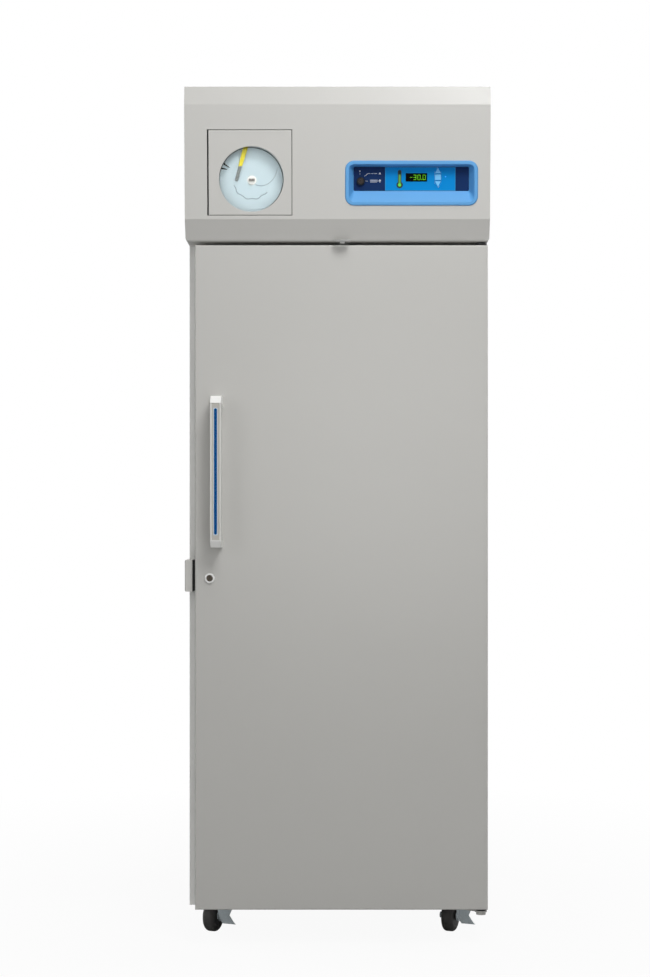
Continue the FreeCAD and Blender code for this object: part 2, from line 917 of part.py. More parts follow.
def pen_arm():
    """The pen arm, hung from a post over the chart, with its nib."""
    half = pen_width / 2
    tip = pen_tip_width / 2
    outline = [(-half, 0), (-tip, -pen_length), (tip, -pen_length), (half, 0)]
    arm = prism([(x, y, 0) for x, y in outline], (0, 0, pen_thickness))
    eye = spigot(0, 0, 0, pen_eye_radius, pen_thickness)
    nib = spigot(0, nib_inset - pen_length, -nib_length, nib_radius, nib_length)
    bore = spigot(0, 0, 0, pen_pin_radius + running_gap, pen_thickness)
    body = joined(arm, eye, nib).cut(bore)
    body.rotate(Vec(0, 0, 0), Vec(0, 0, 1), -pen_lean)
    body.translate(Vec(pen_x, pen_up, pen_level))
    return on_face(body)


def door_sensor():
    """The door-ajar sensor under the header, a flat foot with a narrower nose."""
    y0 = front_y - sensor_back
    y1 = y0 + sensor_depth
    x0 = sensor_offset - sensor_width / 2
    foot = box(x0, x0 + sensor_width, y0, y1, header_bottom - sensor_foot, header_bottom)
    x0 = sensor_offset - sensor_stem / 2
    low = door_top + sensor_gap
    nose = box(x0, x0 + sensor_stem, y0 + sensor_step, y1 - sensor_step, low, header_bottom)
    return joined(foot, nose)


def door_pan(inset, y1):
    """The door's front as a block with rounded front edges, moved inwards by a skin."""
    y0 = door_front_y + inset
    block = box(door_left + inset, door_right - inset, y0, y1, door_bottom + inset, door_top - inset)
    return block.makeFillet(door_corner_radius - inset, edges_where(block, lambda b: near(b.YMax, y0)))


def lock_seat(depth):
    """The round hole into the door's front for the lock's barrel."""
    return rod(lock_x, door_front_y, lock_z, lock_body_radius, depth, (0, 1, 0))


def hinge_seats(depth):
    """The two round holes into the door's bottom and top for the hinge bushes."""
    low = rod(hinge_x, hinge_y, door_bottom, bush_radius, depth, (0, 0, 1))
    high = rod(hinge_x, hinge_y, door_top, bush_radius, depth, (0, 0, -1))
    return low.fuse(high)


def cam_low(x):
    """The lowest height that the lock's tongue sweeps at a place on its way to the keeper, with its gap."""
    reach = math.hypot(cam_reach, cam_width / 2)
    return lock_z - math.sqrt(reach * reach - (lock_x - x) * (lock_x - x)) - cam_gap


def cam_path(x0, x1, low):
    """The space that the lock's tongue needs between two places across the door."""
    y1 = lock_cam_y + cam_thickness + cam_gap
    return box(x0, x1, lock_cam_y - cam_gap, y1, low, lock_z + cam_width / 2 + cam_gap)


def door_shell():
    """The door's painted steel pan, with holes for the lock, its tongue and the hinge bushes."""
    y1 = door_front_y + door_shell_depth
    shell = door_pan(0, y1).cut(door_pan(door_skin, y1))
    shell = shell.cut(lock_seat(door_skin)).cut(hinge_seats(door_skin))
    inner = door_left + door_skin
    return shell.cut(cam_path(door_left, inner, cam_low(inner)))


def door_foam():
    """The foam inside the door, with a pocket for the lock's tongue and seats for the hinge bushes."""
    foam = door_pan(door_skin, door_front_y + door_shell_depth)
    inner = door_left + door_skin
    low = lock_z - cam_reach - cam_gap
    pocket = cam_path(inner, lock_x + cam_eye_radius + cam_gap, low)
    eye_room = lock_x + cam_eye_radius + cam_gap
    above = box(
        lock_x - cam_eye_radius - cam_gap,
        eye_room,
        lock_cam_y - cam_gap,
        lock_cam_y + cam_thickness + cam_gap,
        lock_z,
        lock_z + cam_eye_radius + cam_gap,
    )
    foam = foam.cut(pocket).cut(above).cut(lock_seat(lock_body_length))
    return foam.cut(hinge_seats(hinge_pin_length + bush_end_gap))


def door_liner():
    """The white inner pan of the door, with a raised field inside the gasket."""
    y0 = door_front_y + door_shell_depth
    sheet = box(door_left, door_right, y0, door_back_y, door_bottom, door_top)
    sheet = sheet.makeFillet(door_corner_radius, edges_where(sheet, lambda b: near(b.YMin, door_back_y)))
    inset = gasket_inset + gasket_width + plateau_margin
    top_y = door_back_y + plateau_height
    field = box(-half_width + inset, half_width - inset, y0, top_y, box_bottom + inset, box_top - inset)
    rim = edges_where(field, lambda b: near(b.YMin, top_y))
    return joined(sheet, field.makeFillet(plateau_radius, rim))


def gasket_ring(inset, width, y0, y1):
    """A rectangular ring in front of the cabinet's flange."""
    ring, hole = (
        box(-half_width + edge, half_width - edge, y0, y1, box_bottom + edge, box_top - edge)
        for edge in (inset, inset + width)
    )
    return ring.cut(hole)


def door_gasket():
    """The magnetic bellows seal round the back of the door: a foot, a narrow neck and a broad face."""
    end = front_y - seat_gap
    third = gasket_depth / 3
    folds = []
    for i, fold in enumerate((gasket_fold, 2 * gasket_fold, 0)):
        y0 = end - (3 - i) * third
        folds.append(gasket_ring(gasket_inset + fold, gasket_width - 2 * fold, y0, y0 + third))
    return joined(*folds)


def handle_grip():
    """The pull handle: a straight bar whose ends slope back to two feet on the door."""
    rear = handle_front_y + handle_bar
    top = handle_length / 2
    inner = top - handle_foot
    half_outline = [
        (door_front_y, inner),
        (rear + handle_slope, inner),
        (rear, inner - handle_slope),
    ]
    outer_outline = [
        (door_front_y, top),
        (handle_front_y + handle_slope, top),
        (handle_front_y, top - handle_slope),
    ]
    lower_outer = [(y, -z) for y, z in outer_outline[::-1]]
    lower_inner = [(y, -z) for y, z in half_outline]
    outline = outer_outline + lower_outer + lower_inner + half_outline[::-1]
    x0 = handle_x - handle_width / 2
    grip = prism([(x0, y, handle_z + z) for y, z in outline], (handle_width, 0, 0))
    shoulders = (handle_front_y, handle_front_y + handle_slope)
    bends = edges_where(grip, lambda b: b.XLength > over and any(near(b.YMin, y) for y in shoulders))
    bends = [edge for edge in bends if abs(edge.BoundBox.ZMin - handle_z) > inner]
    grip = grip.makeFillet(handle_bend_radius, bends)
    half = handle_groove_width / 2
    reach = top - handle_groove_end
    groove_y = handle_front_y + handle_groove_depth
    groove = box(
        handle_x - half, handle_x + half, handle_front_y - over, groove_y, handle_z - reach, handle_z + reach
    )
    return grip.cut(groove).cut(handle_inlay())


def handle_inlay():
    """The coloured strip with round ends, let into the floor of the handle's groove."""
    y0 = handle_front_y + handle_groove_depth
    half = inlay_width / 2
    reach = inlay_length / 2 - half
    strip = box(handle_x - half, handle_x + half, y0, y0 + inlay_depth, handle_z - reach, handle_z + reach)
    ends = [rod(handle_x, y0, handle_z + side * reach, half, inlay_depth, (0, 1, 0)) for side in (-1, 1)]
    return joined(strip, *ends)


def lock_barrel():
    """The chromed barrel of the door lock, with its ring on the door's front."""
    ring = rod(lock_x, lock_front_y, lock_z, lock_ring_radius, lock_ring_height, (0, 1, 0))
    ring = ring.makeChamfer(lock_ring_chamfer, edges_where(ring, lambda b: near(b.YMax, lock_front_y)))
    length = lock_body_length - lock_body_end
    body = rod(lock_x, door_front_y, lock_z, lock_body_radius, length, (0, 1, 0))
    hole = lock_plug_radius + running_gap
    bore = rod(lock_x, lock_front_y, lock_z, hole, lock_ring_height + length, (0, 1, 0))
    return joined(ring, body).cut(bore)


def lock_plug():
    """The door lock's turning core with its keyway, and the tongue behind it, which hangs when unlocked."""
    front = lock_front_y + lock_plug_recess
    plug = rod(lock_x, front, lock_z, lock_plug_radius, lock_cam_y - front, (0, 1, 0))
    x0 = lock_x - keyway_width / 2
    z0 = lock_z - keyway_height / 2
    slot = box(x0, x0 + keyway_width, front, front + keyway_depth, z0, z0 + keyway_height)
    x0 = lock_x - cam_width / 2
    cam_end = lock_cam_y + cam_thickness
    tongue = box(x0, x0 + cam_width, lock_cam_y, cam_end, lock_z - cam_reach, lock_z)
    eye = rod(lock_x, lock_cam_y, lock_z, cam_eye_radius, cam_thickness, (0, 1, 0))
    return Part.makeCompound([plug.cut(slot), joined(tongue, eye)])


def keeper_cover():
    """The painted cover of the lock keeper, wrapped round the cabinet's corner."""
    right = keeper_left + keeper_cover_width
    end = front_y + keeper_wrap
    block = box(keeper_left, right, keeper_front_y, end, keeper_low, keeper_high)
    rounded = edges_where(block, lambda b: near(b.XMax, keeper_left) and not near(b.YMin, end))
    block = block.makeFillet(keeper_radius, rounded)
    corner = box(-half_width, right, front_y, end, keeper_low, keeper_high)
    return block.cut(corner).cut(keeper_room(right))


def keeper_room(right):
    """The space inside the keeper's cover, up to a place across it."""
    sheet = keeper_sheet
    return box(
        keeper_left + sheet, right, keeper_front_y + sheet, front_y, keeper_low + sheet, keeper_high - sheet
    )


def keeper_insert():
    """The black striker block inside the cover, with a slot for the lock's tongue."""
    inner = keeper_left + keeper_cover_width
    right = inner + keeper_insert_width
    step = keeper_insert_step
    front = keeper_front_y + keeper_sheet
    nose = box(inner, right, front, front_y, keeper_low + step, keeper_high - step)
    ends = edges_where(nose, lambda b: near(b.XMin, right) and b.YLength > over)
    nose = nose.makeFillet(keeper_sheet, ends)
    slot = cam_path(lock_x - cam_reach - cam_gap, right, cam_low(right))
    return joined(keeper_room(inner), nose).cut(slot)


def hinge_arm(z0, back, spread):
    """A hinge plate seen from above: a boss round the pin that widens to where it is fixed."""
    outer = half_width - hinge_side_gap
    inner = half_width - hinge_side_gap - spread
    arm = prism(
        [
            (hinge_x + hinge_cup_radius, hinge_y, z0),
            (outer, front_y, z0),
            (outer, back, z0),
            (inner, back, z0),
            (inner, front_y - hinge_plate, z0),
            (hinge_x - hinge_cup_radius, hinge_y, z0),
        ],
        (0, 0, hinge_plate),
    )
    return arm.fuse(rod(hinge_x, hinge_y, z0, hinge_boss_radius, hinge_plate, (0, 0, 1)))


def hinge_bracket_top():
    """The upper hinge: an angle on the cabinet's flange, with a pin that points down into the door."""
    top = hinge_top_z + hinge_plate
    arm = hinge_arm(hinge_top_z, front_y, hinge_leg_width)
    outer = half_width - hinge_side_gap
    leg = box(outer - hinge_leg_width, outer, front_y - hinge_plate, front_y, top - hinge_leg_height, top)
    pin = rod(hinge_x, hinge_y, top, hinge_pin_radius, top - door_top + hinge_pin_length, (0, 0, -1))
    return joined(arm, leg, pin)


def hinge_bracket_bottom():
    """The lower hinge: a broad plate under the cabinet's corner, with a pin that points up into the door."""
    z0 = floor_gap - hinge_plate
    arm = hinge_arm(z0, front_y + hinge_foot_depth, hinge_foot_width)
    cup = rod(hinge_x, hinge_y, z0, hinge_cup_radius, hinge_cup_height, (0, 0, -1))
    pin = rod(hinge_x, hinge_y, z0, hinge_pin_radius, door_bottom + hinge_pin_length - z0, (0, 0, 1))
    return joined(arm, cup, pin)


def hinge_bushes():
    """The two flanged bushes in the door that turn on the hinge pins."""
    bushes = []
    for z, up, bracket_z in ((door_bottom, 1, floor_gap), (door_top, -1, hinge_top_z)):
        flange = abs(z - bracket_z) - seat_gap
        start = z - up * flange
        length = flange + hinge_pin_length + bush_end_gap
        sleeve = rod(hinge_x, hinge_y, z, bush_radius, hinge_pin_length + bush_end_gap, (0, 0, up))
        collar = rod(hinge_x, hinge_y, start, bush_flange_radius, flange, (0, 0, up))
        bore = rod(hinge_x, hinge_y, start, hinge_pin_radius + running_gap, length, (0, 0, up))
        bushes.append(joined(sleeve, collar).cut(bore))
    return Part.makeCompound(bushes)


def compressor_shell(z0):
    """The hermetic shell, a turned form: a heel, an upright side with a welded seam, and a domed crown."""
    top = z0 + compressor_height
    seam = z0 + seam_height
    r = compressor_radius
    crown_mid = compressor_crown * (1 - math.sqrt(0.5))
    crown_start = Vec(r, 0, top - compressor_crown)
    crown_end = Vec(r - compressor_crown, 0, top)
    side = Part.makePolygon(
        [
            Vec(0, 0, top),
            Vec(0, 0, z0),
            Vec(r - compressor_heel, 0, z0),
            Vec(r, 0, z0 + compressor_heel),
            Vec(r, 0, seam),
            Vec(r + seam_proud, 0, seam),
            Vec(r + seam_proud, 0, seam + seam_thickness),
            Vec(r, 0, seam + seam_thickness),
            crown_start,
        ]
    )
    crown = Part.Arc(crown_start, Vec(r - crown_mid, 0, top - crown_mid), crown_end).toShape()
    outline = Part.Wire(side.Edges + [crown, Part.makeLine(crown_end, Vec(0, 0, top))])
    shell = Part.Face(outline).revolve(Vec(0, 0, 0), Vec(0, 0, 1), 360)
    shell.translate(Vec(compressor_x, compressor_y, 0))
    return shell


def compressor():
    """The compressor: its shell with stubs and terminal cover, a foot plate, and four rubber grommets."""
    z0 = box_top + compressor_foot
    middle = (compressor_x, compressor_y, stub_z)
    stubs = [rod(*middle, stub_radius, stub_reach, way) for way in ((-1, 0, 0), (0, 1, 0))]
    half = foot_spacing / 2
    side = foot_spacing + 2 * foot_margin
    plate = box(0, side, 0, side, z0 - foot_plate, z0)
    plate.translate(Vec(compressor_x - side / 2, compressor_y - side / 2, 0))
    plate = plate.makeChamfer(foot_corner, upright_edges(plate))
    terminals = box(
        compressor_x - terminal_width / 2,
        compressor_x + terminal_width / 2,
        compressor_y - compressor_radius - terminal_depth,
        compressor_y,
        z0 + terminal_bottom,
        z0 + terminal_bottom + terminal_height,
    )
    body = joined(compressor_shell(z0), plate, terminals, *stubs)
    feet = []
    height = compressor_foot - foot_plate
    for x in (compressor_x - half, compressor_x + half):
        for y in (compressor_y - half, compressor_y + half):
            feet.append(rod(x, y, box_top, grommet_radius, height, (0, 0, 1)))
    return Part.makeCompound([body] + feet)


def condenser_coil():
    """The finned condenser, in a frame of pressed sheet."""
    x0 = condenser_left
    x1 = condenser_right
    y0 = condenser_y
    z0 = box_top + condenser_frame
    z1 = condenser_top - condenser_frame
    outside = box(x0 - condenser_end, x1 + condenser_end, y0, shroud_y, box_top, condenser_top)
    frame = outside.cut(box(x0, x1, y0, shroud_y, z0, z1))
    inset = seat_gap
    return joined(frame, finned_coil(x0, x1, y0 + inset, shroud_y - inset, z0, z1, condenser_fin_count))


def fan_shaft(x, y, z, depth, motor_y):
    """The motor's shaft, from the motor's face into the hub of a fan."""
    start = y + depth / 2 - shaft_grip
    return rod(x, start, z, shaft_radius, motor_y - start, (0, 1, 0))


def condenser_shroud():
    """The fan shroud behind the condenser, with the motor and its shaft on a strap across the mouth."""
    x0 = condenser_left
    x1 = condenser_right
    y1 = shroud_y + shroud_depth
    sheet = shroud_sheet
    hood = box(x0, x1, shroud_y, y1, box_top, condenser_top)
    hollow = box(x0 + sheet, x1 - sheet, shroud_y, y1 - sheet, box_top + sheet, condenser_top - sheet)
    mouth = rod(condenser_x, y1 - sheet, fan_z, fan_radius + fan_tip_gap, sheet, (0, 1, 0))
    half_strap = strap_height / 2
    motor_y = y1 + strap_sheet
    strap = box(x0 + strap_inset, x1 - strap_inset, y1, motor_y, fan_z - half_strap, fan_z + half_strap)
    motor = rod(condenser_x, motor_y, fan_z, motor_radius, motor_length, (0, 1, 0))
    motor_end = edges_where(motor, lambda b: near(b.YMin, motor_y + motor_length))
    motor = motor.makeChamfer(motor_chamfer, motor_end)
    shaft = fan_shaft(condenser_x, fan_y, fan_z, fan_depth, motor_y)
    return joined(hood.cut(hollow).cut(mouth), strap, motor, shaft)


def fan(x, y, z, tip_radius, hub_size, depth):
    """A propeller fan on a front-to-back axis: a hub bored for the motor's shaft, and tilted blades."""
    hub = rod(x, y - depth / 2, z, hub_size, depth, (0, 1, 0))
    bore_depth = shaft_grip + seat_gap
    bore = rod(x, y + depth / 2, z, shaft_radius + running_gap, bore_depth, (0, -1, 0))
    trim = rod(x, y - depth, z, tip_radius, 2 * depth, (0, 1, 0))
    half_chord = tip_radius * blade_chord_share / 2
    half_sheet = blade_sheet / 2
    tilt = math.degrees(math.asin((depth / 2 - blade_sheet) / half_chord))
    blades = []
    for i in range(fan_blades):
        blade = box(-half_chord, half_chord, -half_sheet, half_sheet, hub_size / 2, tip_radius + depth)
        blade.rotate(Vec(0, 0, 0), Vec(0, 0, 1), tilt)
        blade.rotate(Vec(0, 0, 0), Vec(0, 1, 0), i * 360 / fan_blades)
        blade.translate(Vec(x, y, z))
        blades.append(blade.common(trim))
    return joined(hub, *blades).cut(bore)


def condenser_fan():
    """The fan that draws air through the condenser."""
    return fan(condenser_x, fan_y, fan_z, fan_radius, fan_hub_radius, fan_depth)


def refrigerant_lines():
    """The copper lines: discharge to the condenser, the liquid line with its filter dryer, and suction."""
    coil_x = condenser_right + condenser_end
    coil_y = condenser_y + condenser_depth / 2
    down_x = coil_x + discharge_gap / 2
    discharge = tube(
        [
            (coil_x + discharge_gap, compressor_y, stub_z),
            (down_x, compressor_y, stub_z),
            (down_x, coil_y, stub_z),
            (coil_x, coil_y, stub_z),
        ],
        discharge_radius,
        discharge_bend,
    )
    low = box_top + liquid_height
    turn_x = coil_x + liquid_run
    dryer_y = coil_y - liquid_back
    way = [(coil_x, coil_y, low), (turn_x, coil_y, low), (turn_x, dryer_y, low)]
    liquid = tube(way, liquid_radius, liquid_bend)
    dryer = rod(turn_x, dryer_y, low, dryer_radius, dryer_length, (0, -1, 0))
    dryer = dryer.makeChamfer(dryer_chamfer, edges_where(dryer, lambda b: near(b.YLength, 0)))
    feed_y = dryer_y - dryer_length
    end_y = feed_y - feed_run
    way = [(turn_x, feed_y, low), (turn_x, end_y, low), (turn_x, end_y, box_top)]
    feed = tube(way, feed_radius, feed_bend)
    back = compressor_y + stub_reach
    end = back + suction_run
    suction = tube(
        [(compressor_x, back, stub_z), (compressor_x, end, stub_z), (compressor_x, end, box_top)],
        suction_radius,
        suction_bend,
    )
    return Part.makeCompound([discharge, joined(liquid, dryer, feed), suction])


def electrical_box():
    """The covered box for the relays, and the power inlet that it feeds from."""
    x0 = electrical_x - electrical_width / 2
    x1 = x0 + electrical_width
    y0 = electrical_y - electrical_depth / 2
    y1 = y0 + electrical_depth
    top = box_top + electrical_height
    block = box(x0, x1, y0, y1, box_top, top)
    block = block.makeFillet(electrical_corner, upright_edges(block))
    lid = box(x0 - lid_lap, x1 + lid_lap, y0 - lid_lap, y1 + lid_lap, top - lid_height, top)
    lid = lid.makeFillet(electrical_corner, upright_edges(lid))
    glands = []
    for i in range(gland_count):
        x = electrical_x + (i - (gland_count - 1) / 2) * gland_pitch
        glands.append(rod(x, y0, box_top + gland_pitch, gland_radius, gland_length, (0, -1, 0)))
    return Part.makeCompound([joined(block, lid, *glands), power_inlet()])


def inlet_throat(y0, y1):
    """The space inside the power inlet between two depths."""
    half = inlet_width / 2 - inlet_wall
    top = inlet_z + inlet_height - inlet_wall
    return box(electrical_x - half, electrical_x + half, y0, y1, inlet_z + inlet_wall, top)


def power_inlet():
    """The appliance inlet behind its own opening in the slotted back wall, with three pins."""
    half = inlet_width / 2
    y1 = back_y - skin
    y0 = y1 - inlet_depth
    block = box(electrical_x - half, electrical_x + half, y0, y1, inlet_z, inlet_z + inlet_height)
    block = block.cut(inlet_throat(y0 + inlet_wall, y1))
    middle = inlet_z + inlet_height / 2
    pins = []
    for dx, dz in ((-inlet_pin_dx, -inlet_pin_dz), (inlet_pin_dx, -inlet_pin_dz), (0, inlet_pin_dz)):
        x = electrical_x + dx - inlet_pin / 2
        z = middle + dz - inlet_pin / 2
        pins.append(box(x, x + inlet_pin, y0, y1 - inlet_wall, z, z + inlet_pin))
    return joined(block, *pins)


def evaporator_unit():
    """The cover under the ceiling of the cold space, the fan's motor on its hanger, and the finned coil."""
    y0 = front_y + evaporator_front
    y1 = cavity_back - evaporator_back
    sheet = evaporator_sheet
    hood = box(-hood_half, hood_half, y0, y1, hood_bottom, cavity_top)
    hollow = box(-hood_half + sheet, hood_half - sheet, y0 + sheet, y1, hood_bottom + sheet, cavity_top)
    mouth = rod(0, y0, evaporator_fan_z, evaporator_fan_radius + fan_tip_gap, sheet, (0, 1, 0))
    rear = evaporator_fan_y + evaporator_motor_gap
    motor = rod(0, rear, evaporator_fan_z, evaporator_motor_radius, evaporator_motor_length, (0, 1, 0))
    shaft = fan_shaft(0, evaporator_fan_y, evaporator_fan_z, evaporator_fan_depth, rear)
    hang_y0 = rear + hanger_inset
    hang_y1 = rear + evaporator_motor_length - hanger_inset
    hanger = box(-hanger_width / 2, hanger_width / 2, hang_y0, hang_y1, evaporator_fan_z, cavity_top)
    coil_half = hood_half - evaporator_coil_inset
    coil_y = rear + evaporator_motor_length + evaporator_coil_gap
    coil_end = coil_y + evaporator_coil_depth
    coil_bottom = hood_bottom + evaporator_pan
    coil_top = cavity_top
    coil = finned_coil(-coil_half, coil_half, coil_y, coil_end, coil_bottom, coil_top, evaporator_fin_count)
    return Part.makeCompound([hood.cut(hollow).cut(mouth), joined(motor, hanger, shaft), coil])


def evaporator_fan():
    """The fan that blows cold air over the drawers."""
    middle = (0, evaporator_fan_y, evaporator_fan_z)
    return fan(*middle, evaporator_fan_radius, evaporator_hub_radius, evaporator_fan_depth)


def drawer(z0):
    """One sheet-steel drawer: an open tray that hangs by its side flanges, with a pull lip in front."""
    x1 = drawer_half
    z1 = z0 + drawer_height
    t = drawer_sheet
    y0 = drawer_y0
    y1 = drawer_y1
    tray = box(-x1, x1, y0, y1, z0, z1).cut(box(-x1 + t, x1 - t, y0 + t, y1 - t, z0 + t, z1))
    reach = x1 + drawer_clearance + drawer_flange
    left = box(-reach, -x1 + t, y0, y1, z1 - t, z1)
    right = box(x1 - t, reach, y0, y1, z1 - t, z1)
    lip_half = x1 - drawer_lip_margin
    lip = box(-lip_half, lip_half, y0 - drawer_lip, y0 + t, z1 - t, z1)
    hook = box(-lip_half, lip_half, y0 - drawer_lip, y0 - drawer_lip + t, z1 - drawer_lip, z1)
    return joined(tray, left, right, lip, hook)


def drawer_slides():
    """Four posts on the liner's walls and, hooked on them for each drawer, a pair of angle runners."""
    low = cavity_bottom + drawer_floor_gap
    high = hood_bottom - drawer_floor_gap
    post_ys = (drawer_y0 + post_inset, drawer_y1 - post_inset - post_width)
    pieces = []
    for side in (-1, 1):
        wall_x = side * cavity_half
        post_x = side * (cavity_half - post_depth)
        back_x = side * (cavity_half - post_depth - runner_thickness)
        edge_x = side * (cavity_half - post_depth - runner_width)
        pieces += [box(*sorted((wall_x, post_x)), y, y + post_width, low, high) for y in post_ys]
        for z in drawer_levels:
            top = z + drawer_height - drawer_sheet - seat_gap
            shelf = box(*sorted((post_x, edge_x)), drawer_y0, drawer_y1, top - runner_thickness, top)
            back = box(*sorted((post_x, back_x)), drawer_y0, drawer_y1, top - runner_width, top)
            pieces.append(joined(shelf, back))
    return Part.makeCompound(pieces)


def caster_plate_at(x, y):
    """A caster's top plate with its race and kingpin."""
    half_x = caster_plate_width / 2
    half_y = caster_plate_length / 2
    low = caster_height - caster_plate
    plate = box(x - half_x, x + half_x, y - half_y, y + half_y, low, caster_height)
    race = rod(x, y, low, race_radius, race_height, (0, 0, -1))
    pin_low = yoke_top - fork_sheet - kingpin_end
    pin = rod(x, y, pin_low, kingpin_radius, low - pin_low, (0, 0, 1))
    return joined(plate, race, pin)


def caster_plates():
    """The four fixed plates under the base frame."""
    return Part.makeCompound([caster_plate_at(x, y) for x, y in caster_places.values()])


def place_caster(shape, name):
    """Turns a caster piece about its kingpin and moves it to its corner."""
    x, y = caster_places[name]
    shape.rotate(Vec(0, 0, 0), Vec(0, 0, 1), caster_yaw[name])
    shape.translate(Vec(x, y, 0))
    return shape


def hexagon(y0, height):
    """A hexagonal nut or bolt head on the axle's line."""
    angles = [math.radians(60 * i) for i in range(6)]
    outline = [(trail + nut_radius * math.cos(a), axle_z + nut_radius * math.sin(a)) for a in angles]
    return slab(outline, y0, height)


def caster_fork(name):
    """A caster's swivel fork: a crown, a yoke with two legs, and the axle bolt with its head and nut."""
    crown = rod(0, 0, yoke_top, crown_radius, crown_height, (0, 0, 1))
    pieces = [box(-yoke_back, yoke_front, -fork_outer, fork_outer, yoke_top - fork_sheet, yoke_top)]
    leg = [
        (-yoke_back, yoke_top),
        (yoke_front, yoke_top),
        (trail + fork_end_radius, axle_z),
        (trail, axle_z - fork_end_radius),
        (trail - fork_end_radius, axle_z),
        (-fork_heel, yoke_top - fork_heel_drop),
    ]
    for y0 in (-fork_outer, fork_half):
        pieces.append(slab(leg, y0, fork_sheet))
        pieces.append(rod(trail, y0, axle_z, fork_end_radius, fork_sheet, (0, 1, 0)))
    nut_y = brake_y + brake_sheet + seat_gap
    pieces.append(rod(trail, -fork_outer, axle_z, axle_radius, nut_y + fork_outer, (0, 1, 0)))
    pieces += [hexagon(-fork_outer - nut_height, nut_height), hexagon(nut_y, nut_height)]
    depth = crown_height + fork_sheet
    bore = rod(0, 0, fork_top - depth, kingpin_radius + running_gap, depth, (0, 0, 1))
    return place_caster(joined(crown, *pieces).cut(bore), name)


def wheel_ring(inner, outer, half, shoulder):
    """A ring about the axle, with its outer edges chamfered by a shoulder."""
    outline = [(-half, inner), (half, inner), (half, outer - shoulder)]
    if shoulder:
        outline += [(half - shoulder, outer), (shoulder - half, outer)]
    outline.append((-half, outer - shoulder))
    corners = [Vec(trail, y, axle_z + r) for y, r in outline]
    face = Part.Face(Part.makePolygon(corners + corners[:1]))
    return face.revolve(Vec(trail, 0, axle_z), Vec(0, 1, 0), 360)


def caster_wheel(name):
    """A caster's wheel: a rubber tyre on a dished hub that turns on the axle."""
    bore = axle_radius + running_gap
    half = wheel_width / 2
    web_radius = rim_radius - rim_sheet
    tyre = wheel_ring(rim_radius, wheel_radius, half, wheel_shoulder)
    hub = joined(
        wheel_ring(web_radius, rim_radius, half - rim_step, 0),
        wheel_ring(bore, web_radius, web_half, 0),
        wheel_ring(bore, boss_radius, fork_half - seat_gap, 0),
    )
    return place_caster(Part.makeCompound([tyre, hub]), name)


def brake_lever(name):
    """The foot brake of a front caster: a disc on the axle with an arm, and a folded pedal under it."""
    disc = rod(trail, brake_y, axle_z, brake_disc_radius, brake_sheet, (0, 1, 0))
    heel = (trail - brake_heel, axle_z - brake_heel)
    fold = (trail + brake_fold, axle_z - brake_fold_drop)
    toe = (trail + brake_toe, axle_z - brake_toe_drop)
    arm = slab([(trail, axle_z + brake_heel), toe, fold, heel], brake_y, brake_sheet)
    sheet = brake_sheet
    under = [(toe[0] + sheet, toe[1] - sheet), (fold[0], fold[1] - sheet), (heel[0], heel[1] - sheet)]
    pedal = slab([heel, fold, toe] + under, brake_y, brake_width)
    bore = rod(trail, brake_y, axle_z, axle_radius + running_gap, brake_sheet, (0, 1, 0))
    return place_caster(joined(disc, arm, pedal).cut(bore), name)


def all_pieces():
    """Every piece of the freezer by its name."""
    pieces = {
        "outer_shell": outer_shell(),
        "insulation_foam": insulation_foam(),
        "inner_liner": inner_liner(),
        "base_frame": base_frame(),
        "header_panel": header_panel(),
        "machine_side_panels": machine_side_panels(),
        "rear_grille": rear_grille(),
        "control_bezel": control_bezel(),
        "control_plate": control_plate(),
        "display_window": display_window(),
        "key_switch_body": key_switch_body(),
        "key_switch_plug": key_switch_plug(),
        "recorder_case": recorder_case(),
        "recorder_door": recorder_door(),
        "recorder_window": recorder_window(),
        "chart_disc": chart_disc(),
        "chart_hub": chart_hub(),
        "pen_arm": pen_arm(),
        "door_sensor": door_sensor(),
        "door_shell": door_shell(),
        "door_foam": door_foam(),
        "door_liner": door_liner(),
        "door_gasket": door_gasket(),
        "handle_grip": handle_grip(),
        "handle_inlay": handle_inlay(),
        "lock_barrel": lock_barrel(),
        "lock_plug": lock_plug(),
        "keeper_cover": keeper_cover(),
        "keeper_insert": keeper_insert(),
        "hinge_bracket_top": hinge_bracket_top(),
        "hinge_bracket_bottom": hinge_bracket_bottom(),
        "hinge_bushes": hinge_bushes(),
        "compressor": compressor(),
        "condenser_coil": condenser_coil(),
        "condenser_shroud": condenser_shroud(),
        "condenser_fan": condenser_fan(),
        "refrigerant_lines": refrigerant_lines(),
        "electrical_box": electrical_box(),
        "evaporator_unit": evaporator_unit(),
        "evaporator_fan": evaporator_fan(),
        "drawer_slides": drawer_slides(),
        "caster_plates": caster_plates(),
    }
    for number, level in enumerate(drawer_levels, 1):
        pieces[f"drawer_{number}"] = drawer(level)
    for kind in key_rows:
        pieces[f"key_{kind}"] = control_key(kind)
    for name in caster_places:
        pieces[f"caster_fork_{name}"] = caster_fork(name)
        pieces[f"caster_wheel_{name}"] = caster_wheel(name)
    for name in ("front_left", "front_right"):
        pieces[f"brake_lever_{name}"] = brake_lever(name)
    return pieces


def main():
    """Writes every piece to parts/NAME.step."""
    os.makedirs("parts", exist_ok=True)
    for name, shape in all_pieces().items():
        if not shape.isValid():
            print("not valid:", name)
        shape.exportStep(f"parts/{name}.step")


if __name__ == "__main__":
    main()
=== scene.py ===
"""Looks of an upright plasma freezer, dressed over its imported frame.

Metres, +Z up, the door faces -Y. Each sub-assembly is a class that gives its CAD nodes a finish and models
the small pieces that the frame leaves out.
"""

import logging
import math
from dataclasses import dataclass, field
from enum import Enum
from functools import lru_cache
from typing import Callable, Iterator, Self, Sequence

import bpy
from mathutils import Matrix, Vector


